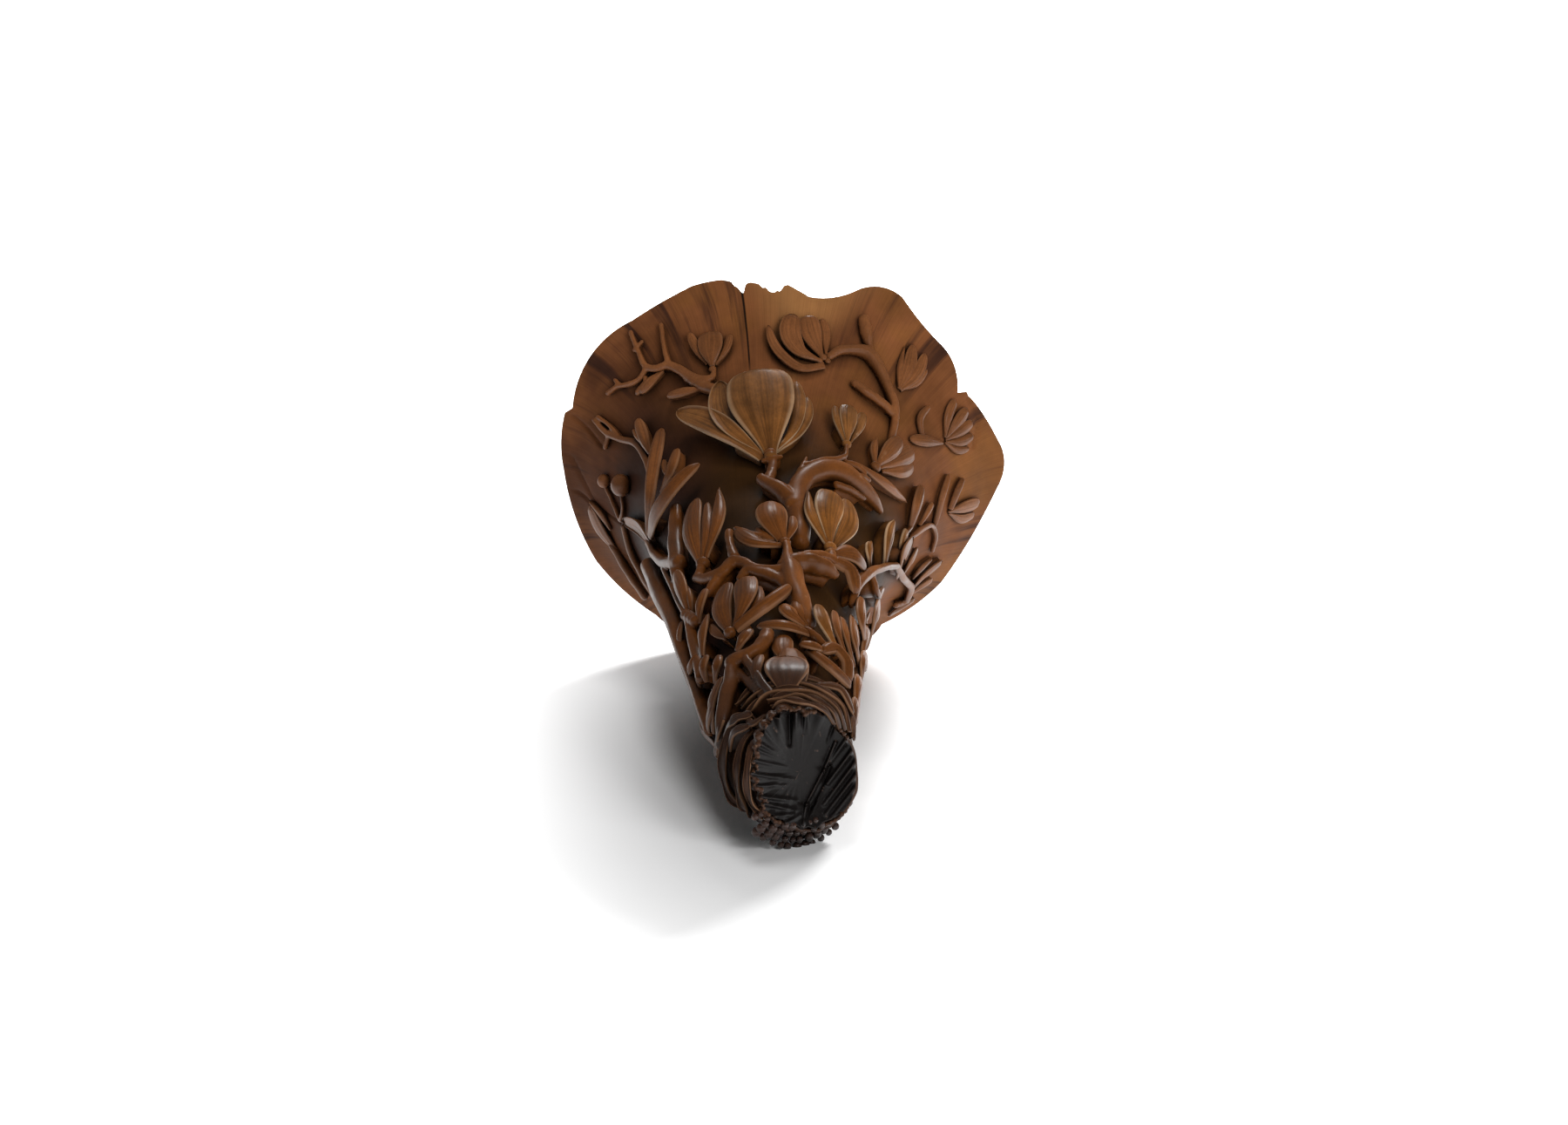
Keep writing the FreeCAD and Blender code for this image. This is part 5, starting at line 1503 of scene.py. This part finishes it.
@dataclass
class NeckSpray:
    """The branch with its blossoms along the top of the neck, down to the curved leaves by the tip."""

    shop: Workshop

    def build(self) -> None:
        """Carves the spray."""
        shop = self.shop
        shop.limbs("lower_centre_branch", (
            ((800, 664, 4, 12), (815, 663, 4.8, 14), (830, 657, 5.2, 15), (842, 645, 5.4, 16), (852, 646, 5.4, 14),
             (866, 652, 5.4, 12), (882, 654, 5.4, 12), (896, 656, 5.4, 16)),
            ((837, 612, 5.8, 12), (838, 624, 5.6, 10), (843, 640, 5.4, 14)),
            ((902, 622, 4.8, 10), (904, 634, 5.6, 12), (906, 650, 5.6, 26), (910, 668, 5, 28), (917, 690, 4.2, 26),
             (926, 714, 3, 22)),
            ((850, 664, 4.4, 11), (858, 655, 5, 13), (874, 658, 5, 14), (890, 663, 4.8, 15), (904, 672, 4.8, 16)),
            ((832, 656, 4.6, 14), (821, 668, 4.4, 13), (812, 682, 4.2, 11)),
            ((806, 645, 4, 11), (804, 655, 4.2, 11), (802, 664, 4, 12)),
            ((812, 682, 3.4, 9), (806, 694, 3, 9), (802, 712, 2.6, 8))))
        shop.petals("branch_leaves", (
            Petal(((900, 627, 4), (872, 624, 5.4), (845, 608, 5)), 22, ROUND, 0.35, lip=0.2),
            Petal(((892, 618, 4), (866, 614, 5.4), (842, 606, 5.2)), 8, STRAP, 0.5)), replaced=False)
        shop.petals("centre_small_bud", (
            Petal(((897, 622, 3.2), (882, 618, 4.4), (870, 606, 4.4)), 14, ROUND, 0.3),
            Petal(((902, 622, 3.6), (909, 608, 6), (910, 593, 5.8)), 11, ROUND, 0.3, lip=0.2),
            Petal(((898, 622, 4), (888, 600, 7.2), (884, 577, 7.4)), 37, ROUND, 0.3, lip=0.25, crease=0.5)),
            balls=((901, 623, 4.6, 2.1, 0.9),))
        shop.limbs("lower_right_arm", (
            ((903, 650, 5.6, 24), (918, 645, 6, 24), (934, 647, 6.2, 24), (948, 652, 6, 20), (958, 659, 5.6, 12)),
            ((918, 640, 5.8, 14), (938, 638, 6, 14), (952, 641, 5.8, 13), (964, 650, 5.4, 12)),
            ((953, 630, 4.8, 10), (955, 642, 5.4, 12))))
        shop.petals("lower_left_bloom", (
            Petal(((846, 721, 3.6), (865, 699, 6), (871, 673, 5.6)), 15, ROUND, 0.3, lip=0.2),
            Petal(((838, 727, 3.6), (829, 700, 6.4), (836, 669, 6.6)), 27, ROUND, 0.3, lip=0.3),
            Petal(((842, 725, 4), (853, 696, 7.6), (857, 663, 7.4)), 29, FAN, 0.3, lip=0.35, crease=0.3)),
            balls=((838, 726, 5, 2.1, 1.0),))
        shop.petals("finger_leaf", (
            Petal(((845, 724, 4), (878, 697, 6.8), (908, 674, 6.8)), 18, STRAP, 0.6, thick=2.6, crease=0.0),))
        shop.petals("pink_bud", (
            Petal(((926, 719, 3), (918, 704, 5), (914, 690, 4.8)), 17, ROUND, 0.35),
            Petal(((924, 720, 3.4), (909, 707, 5.8), (899, 695, 5.6)), 20, ROUND, 0.35, lip=0.2)))
        shop.petals("cross_leaf", (
            Petal(((933, 730, 4.2), (902, 719, 6.4), (869, 719, 5.4)), 21, ROUND, 0.4, lip=0.2),))
        shop.petals("orange_leaf", (
            Petal(((960, 747, 3.8), (947, 720, 6.4), (939, 695, 6)), 20, ROUND, 0.4, lip=0.35),), Slot.HONEY)
        shop.limbs("knot_branch", (
            ((881, 729, 6, 18), (874, 741, 6.2, 18), (862, 750, 6.2, 16), (850, 756, 6.2, 20), (842, 762, 6, 22)),
            ((856, 756, 6, 13), (866, 770, 5.6, 12), (877, 786, 5, 11), (886, 797, 4.4, 10)),
            ((841, 766, 5.8, 17), (838, 786, 5.4, 19), (832, 808, 4.8, 18), (828, 834, 3.8, 14), (827, 856, 2.6, 10)),
            ((926, 723, 5, 10), (936, 730, 5.2, 10), (944, 738, 5, 9), (956, 750, 4.6, 9)),
            ((846, 770, 4, 12), (862, 786, 3.8, 11), (874, 798, 3.6, 9))))
        shop.petals("knot_leaves", (
            Petal(((846, 748, 4.4), (853, 734, 6.4), (862, 723, 6)), 18, ROUND, 0.35, lip=0.2),
            Petal(((870, 786, 4.2), (868, 769, 6.2), (874, 752, 6.2)), 15, ROUND, 0.3, lip=0.3),
            Petal(((918, 790, 3.4), (912, 765, 4.4), (906, 744, 4)), 34, ROUND, 0.2),
            Petal(((902, 760, 3), (898, 744, 4.2), (900, 730, 4)), 26, ROUND, 0.2)), replaced=False)
        shop.petals("round_leaf", (
            Petal(((903, 794, 3.6), (903, 774, 6), (903, 754, 5.6)), 52, ROUND, 0.04, lip=0.4,
                  crease=0.15, face=0.2),))
        shop.petals("curved_leaf", (
            Petal(((928, 748, 4), (950, 765, 5), (976, 790, 3.8)), 15, STRAP, 0.6, thick=2.2),
            Petal(((945, 748, 4.6), (932, 742, 6.4), (917, 740, 5.8)), 18, ROUND, 0.4, lip=0.2),
            Petal(((972, 781, 4), (970, 760, 6), (958, 746, 6.2), (942, 749, 5.4)), 19, STRAP, 0.5, lip=0.3,
                  thick=2.2)))


@dataclass
class TipLayers:
    """The curved bands and nested leaves that wrap the end of the horn."""

    shop: Workshop

    def build(self) -> None:
        """Carves the layers."""
        shop = self.shop
        shop.petals("tip_band_right", (
            Petal(((979, 842, 2), (970, 806, 3), (940, 784, 3.4), (905, 778, 3.4), (872, 786, 3), (846, 811, 2.4)),
                  8, STRAP, 0.1, lip=0.9, wave=0.5),
            Petal(((975, 840, 2.6), (966, 809, 3.8), (938, 790, 4.2), (905, 785, 4.2), (876, 793, 4), (852, 815, 3)),
                  8, STRAP, 0.1, lip=0.9, wave=0.6),
            Petal(((970, 838, 3.2), (960, 812, 4.6), (934, 796, 5), (904, 792, 5), (878, 800, 4.6), (860, 818, 3.4)),
                  7, STRAP, 0.1, lip=0.9, wave=0.7),
            Petal(((964, 836, 3.6), (954, 815, 5.2), (930, 802, 5.8), (903, 799, 5.8), (882, 807, 5.2)), 7,
                  STRAP, 0.1, lip=0.9, wave=0.8),
            Petal(((957, 830, 4), (944, 814, 6), (926, 808, 6.6), (903, 806, 6.6), (886, 813, 5.6)), 6,
                  STRAP, 0.2, lip=0.8, wave=0.9),
            Petal(((938, 786, 4.2), (962, 791, 5.4), (979, 822, 3.8)), 19, ROUND, 0.3, lip=0.6),
            Petal(((979, 848, 2), (978, 825, 2.6), (970, 800, 3)), 9, STRAP, 0.3, lip=0.2)))
        shop.petals("tip_band_left", (
            Petal(((811, 846, 2.4), (819, 812, 4), (831, 777, 3.6)), 20, ROUND, 0.3, lip=0.6),
            Petal(((822, 866, 2.4), (828, 836, 4), (834, 800, 4)), 12, STRAP, 0.4, lip=0.5, wave=0.6),
            Petal(((832, 846, 3), (842, 828, 5), (864, 820, 5)), 15, ROUND, 0.2, lip=0.5, wave=0.6),
            Petal(((838, 862, 3), (843, 842, 5), (862, 834, 5)), 12, ROUND, 0.3, lip=0.5)))
        shop.petals("tip_outer_leaf", (
            Petal(((860, 821, 2), (843, 833, 4), (834, 853, 4.4), (831, 873, 4.4), (834, 896, 4.2), (843, 916, 3.6),
                   (853, 930, 2)), 11, STRAP, 0.1, lip=1.1, roll=30, wave=0.8),))
        shop.petals("tip_middle_leaf", (
            Petal(((867, 836, 2.6), (854, 851, 5), (848, 873, 5.4), (848, 898, 5.2), (853, 920, 4.2),
                   (863, 938, 2.4)), 9, STRAP, 0.1, lip=1.1, roll=20, wave=0.9),))
        shop.petals("tip_inner_leaf", (
            Petal(((872, 843, 3), (863, 859, 6), (859, 880, 6.6), (858, 900, 6.4), (863, 920, 5), (876, 936, 2.8)),
                  8, STRAP, 0.1, lip=1.1, roll=15, wave=0.9),
            Petal(((858, 818, 2.8), (868, 830, 5), (882, 820, 5.4)), 9, ROUND, 0.3, lip=0.4)))


@dataclass
class TipLeaf:
    """The dark folded leaf over the end of the horn, its rolled and serrated edge, and the seeds under it."""

    shop: Workshop
    # the leaf's outline by pixels, clockwise from the top
    outline: tuple[tuple[float, float], ...] = (
        (903, 815), (912, 819), (919, 815), (924, 823), (927, 817), (936, 816), (944, 821), (950, 819), (955, 830),
        (960, 838), (969, 846), (977, 856), (982, 872), (983, 890), (982, 906), (977, 919), (969, 931), (958, 939),
        (945, 944), (937, 952), (928, 949), (921, 952), (912, 946), (903, 949), (899, 941), (891, 941), (887, 935),
        (880, 934), (874, 924), (881, 920), (873, 914), (876, 906), (868, 902), (871, 896), (861, 888), (870, 882),
        (864, 873), (872, 868), (869, 858), (874, 854), (870, 846), (878, 840), (876, 833), (885, 830), (886, 823),
        (895, 824), (896, 817),
    )
    middle: tuple[float, float] = (918, 886)
    bowl: float = 3.0  # how much higher the border stands than the middle, in millimetres
    stand: float = 2.5  # the leaf's height over the end of the horn, half way out
    least: float = 0.4  # its least height, in the folds
    thick: float = 1.2
    sides: int = 360
    rows: int = 70
    outward: Spot = (0.6, -0.8, 0.1)  # off the end of the horn
    rolls: tuple[Spot, ...] = ((1.04, 0.2, 0.9), (1.07, 1.6, 0.9))  # share of the way out, drop and radius
    seed_radius: float = 1.75
    low_seed_radius: float = 1.45
    # folds and ribs: two end pixels, half width in pixels, then the height at each end
    ribs: tuple[tuple[float, float, float, float, float, float, float], ...] = (
        (959, 852, 946, 884, 1.9, 1.3, 1.4), (946, 884, 926, 923, 1.9, 1.4, 1.3),
        (926, 923, 922, 946, 1.9, 1.3, 0.8), (952, 880, 932, 920, 3.2, -1.2, -1.6),
        (932, 920, 925, 938, 3.4, -1.6, -1.0), (972, 848, 952, 876, 2.4, 1.3, 0.6),
        (981, 858, 950, 899, 2.4, 1.5, 0.8), (985, 871, 946, 923, 2.4, 1.5, 0.7),
        (986, 885, 948, 934, 2.4, 1.4, 0.7), (985, 900, 953, 940, 2.4, 1.3, 0.7),
        (981, 914, 962, 938, 2.4, 1.2, 0.6), (866, 850, 899, 868, 2.6, 1.8, 0.2),
        (866, 859, 899, 873, 2.2, 1.6, 0.2), (862, 872, 902, 881, 2.6, 1.8, 0.2),
        (858, 887, 912, 895, 2.8, 2.0, 0.2), (866, 902, 904, 901, 2.2, 1.4, 0.1),
        (870, 914, 914, 919, 2.6, 2.0, 0.2), (876, 922, 913, 930, 2.4, 1.8, 0.3),
        (884, 938, 912, 934, 2.4, 1.4, 0.3), (900, 946, 918, 936, 2.2, 1.2, 0.3),
        (895, 822, 897, 856, 7.0, 3.0, 0.4), (906, 820, 906, 854, 2.8, -2.4, -1.2),
        (914, 816, 914, 838, 2.4, 1.6, 0.3), (921, 818, 922, 842, 2.0, -1.4, -0.4),
        (927, 818, 928, 842, 2.2, 1.2, 0.1), (944, 824, 936, 848, 9.0, 2.0, 0.3),
        (956, 834, 950, 852, 2.2, -1.4, -0.3), (876, 836, 894, 860, 4.0, 1.4, 0.2),
    )

    def on_face(self, across: float, down: float, lift: float) -> Vector:
        """The point of the tip's end plane under a pixel.

        Args:
            across: pixels from the photograph's left edge.
            down: pixels from its top edge.
            lift: distance off the plane.

        Returns:
            The point.
        """
        ground = self.shop.ground
        turn = math.radians(ground.horn.tip_turn)
        normal = Vector((math.sin(turn), -math.cos(turn), 0.0))
        _, values = ground.horn.table()
        centre = Vector(values[-1, :3].tolist()) + normal * lift
        eye, ray = ground.camera.eye(), ground.camera.ray(across, down)
        return eye + ray * ((centre - eye).dot(normal) / ray.dot(normal))

    def height(self, pixels: np.ndarray, reach: np.ndarray) -> np.ndarray:
        """How far the leaf stands off the end of the horn, with its folds and ribs.

        Args:
            pixels: rows of pixels.
            reach: their shares of the way from the middle to the outline.

        Returns:
            A lift for each.
        """
        lifts = self.stand + self.bowl * (reach ** 2.4 - 0.55)
        for x0, y0, x1, y1, half_width, first, last in self.ribs:
            start, run = np.array((x0, y0)), np.array((x1 - x0, y1 - y0))
            share = np.clip(((pixels - start) @ run) / (run @ run), 0, 1)
            gap = np.linalg.norm(pixels - start - share[:, None] * run, axis=1) / half_width
            lifts = lifts + (first + (last - first) * share) * np.exp(-(gap ** 2))
        return np.maximum(lifts, self.least)

    def build(self) -> None:
        """Carves the leaf, its edge and the seeds."""
        shop = self.shop
        edge = np.array(self.outline + self.outline[:1])
        steps = np.linalg.norm(np.diff(edge, axis=0), axis=1)
        knots = np.concatenate(([0.0], np.cumsum(steps))) / steps.sum()
        around = np.linspace(0, 1, self.sides + 1)[:-1]
        border = np.stack([np.interp(around, knots, edge[:, i]) for i in (0, 1)], axis=1)
        hub = np.array(self.middle)
        shares = np.concatenate((np.linspace(0.02, 0.94, self.rows), (0.97, 1.0)))
        top, bottom = [], []
        for share in shares:
            pixels = hub + (border - hub) * share
            lifts = self.height(pixels, np.full(len(pixels), share))
            top.append([self.on_face(*p, h)[:] for p, h in zip(pixels, lifts)])
            low = lifts - self.thick * (1.0 if share < 1 else 0.5)
            bottom.append([self.on_face(*p, h)[:] for p, h in zip(pixels, low)])
        rings = np.array(top + bottom[::-1])
        clay = Clay()
        clay.add_rings(rings, np.zeros_like(rings))
        shop.settle(clay.fire("carved_tip_leaf"), Slot.DARK, "tip_leaf")
        self.build_edge(border)
        self.build_seeds()

    def build_edge(self, border: np.ndarray) -> None:
        """Carves the beaded roll round the leaf.

        Args:
            border: the leaf's outline in pixels.
        """
        clay = Clay()
        hub = np.array(self.middle)
        for index in range(0, len(border), 4):
            pixel = hub + (border[index] - hub) * (1.02 + 0.03 * math.sin(index * 1.7))
            if pixel[1] > 948 or pixel[0] > 974:
                continue
            size = 0.7 + 0.3 * math.sin(index * 2.3) ** 2
            centre = self.on_face(*pixel, self.stand + 1.2 + 0.5 * math.cos(index))
            carve_ball(clay, centre, Vector(self.outward), size, 1.1, index * 0.1)
        for share, sink, radius in self.rolls:
            ring = [hub + (border[i] - hub) * (share if border[i][0] < 955 else 0.99)
                    for i in range(0, len(border), 6)]
            path = np.array([self.on_face(*p, self.stand - sink)[:] for p in ring])
            self.add_roll(clay, path, radius)
        thing = clay.fire("carved_tip_rolled_edge")
        melt(thing, voxel=0.32, rounds=3)
        self.shop.settle(thing, Slot.HORN, "tip_rolled_edge")

    def add_roll(self, clay: Clay, path: np.ndarray, radius: float) -> None:
        """Adds a closed round roll.

        Args:
            clay: what it is added to.
            path: the points that it goes round.
            radius: its radius.
        """
        path = np.concatenate((path, path[:1]))
        path = route(path, np.linspace(0, 1, 240))
        ahead = unit(np.gradient(path, axis=0))
        side = unit(np.cross(ahead, self.outward))
        up = np.cross(side, ahead)
        angle = np.linspace(0, 2 * math.pi, 12, endpoint=False)[None, :]
        swell = radius * (1 + 0.2 * np.sin(np.linspace(0, 60, len(path))))[:, None]
        rings = (path[:, None, :] + side[:, None, :] * (swell * np.cos(angle))[..., None]
                 + up[:, None, :] * (swell * np.sin(angle))[..., None])
        clay.add_rings(rings, np.zeros_like(rings))

    def build_seeds(self) -> None:
        """Carves the seeds under the tip, worn flat on the table."""
        shop = self.shop
        clay = Clay()
        number = 0
        # rows round the underside of the horn
        for row, place in enumerate(np.arange(0.895, 1.0, 0.0125)):
            for clock in np.arange(128.0 + (row % 2) * 4.5, 236.0, 9.0):
                number += 1
                spot, normal = shop.ground.seat(float(place), float(clock), 1.6)
                carve_ball(clay, spot, normal, self.seed_radius + 0.2 * math.sin(number * 1.9), 1.0, number * 0.1)
        # rows under its end, by pixels
        for row in range(4):
            for index in range(11):
                number += 1
                across = 868 + 9.2 * index + 4.6 * (row % 2) + 1.2 * math.sin(number * 2.1)
                low = 972 - 27 * ((across - 910) / 52) ** 2 - 8.0 * row
                if not 864 < across < 964 - 9 * row:
                    continue
                centre = self.on_face(across, low, 0.6 + 0.7 * row + 0.5 * math.cos(number))
                radius = self.low_seed_radius + 0.3 * math.sin(number)
                carve_ball(clay, centre, Vector((0.5, -0.8, -0.2)), radius, 0.9, number * 0.1)
        beads = clay.fire("carved_seed_cluster")
        shop.settle(beads, Slot.DARK, "seed_cluster")
        beads.data.materials[0] = CarvedHorn("dark_bead_horn", mouth="#2e1c15", neck="#2e1c15", tip="#2e1c15",
                                             recess="#0a0605", worn="#8a6c5d", roughness=0.28, gloss=0.5,
                                             coat=0.2).make()


@dataclass
class Underside:
    """The carving on the sides and underneath that the photograph doesn't show, in the style of the rest."""

    shop: Workshop

    def build(self) -> None:
        """Carves the leaves and the branch."""
        shop = self.shop
        shop.petals("under_left_leaf", (
            Petal(((0.3, 232, 0.6), (0.4, 226, 1.8), (0.5, 229, 1.8)), 11, ROUND, 0.25, lip=0.3),),
            anchor=Anchor.HORN)
        shop.petals("under_right_leaf", (
            Petal(((0.28, 127, 0.6), (0.38, 136, 1.6), (0.48, 132, 1.6)), 11, ROUND, 0.25, lip=0.3),),
            anchor=Anchor.HORN)
        shop.limbs("under_branch", (
            ((0.30, 165, 1.2, 4), (0.45, 172, 1.9, 5), (0.60, 178, 1.9, 5), (0.75, 170, 1.5, 4)),
            ((0.45, 172, 1.8, 4), (0.42, 190, 1.6, 4), (0.36, 204, 1.2, 3)),
            ((0.60, 178, 1.8, 4), (0.64, 196, 1.6, 4), (0.70, 214, 1.2, 3)),
            ((0.52, 175, 1.8, 4), (0.47, 158, 1.6, 4), (0.41, 143, 1.2, 3))), anchor=Anchor.HORN)


def main() -> None:
    """Builds the cup, the studio and the camera in order."""
    logging.basicConfig(level=logging.INFO, format="%(name)s: %(message)s")
    camera = PhotoCamera()
    camera.build()
    horn = HornBody()
    ground = Ground(camera, horn)
    shop = Workshop(ground)
    body = horn.build(ground)
    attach(body, BODY)
    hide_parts("horn_body")
    log.info("%s: %d faces", body.name, len(body.data.polygons))
    for part in (MagnoliaSpray, UpperSprays, LeftSpray, RightSprays, NeckSpray, TipLayers, TipLeaf, Underside):
        part(shop).build()
        log.info("%s done", part.__name__)
    Studio().build()


if __name__ == "__main__":
    main()
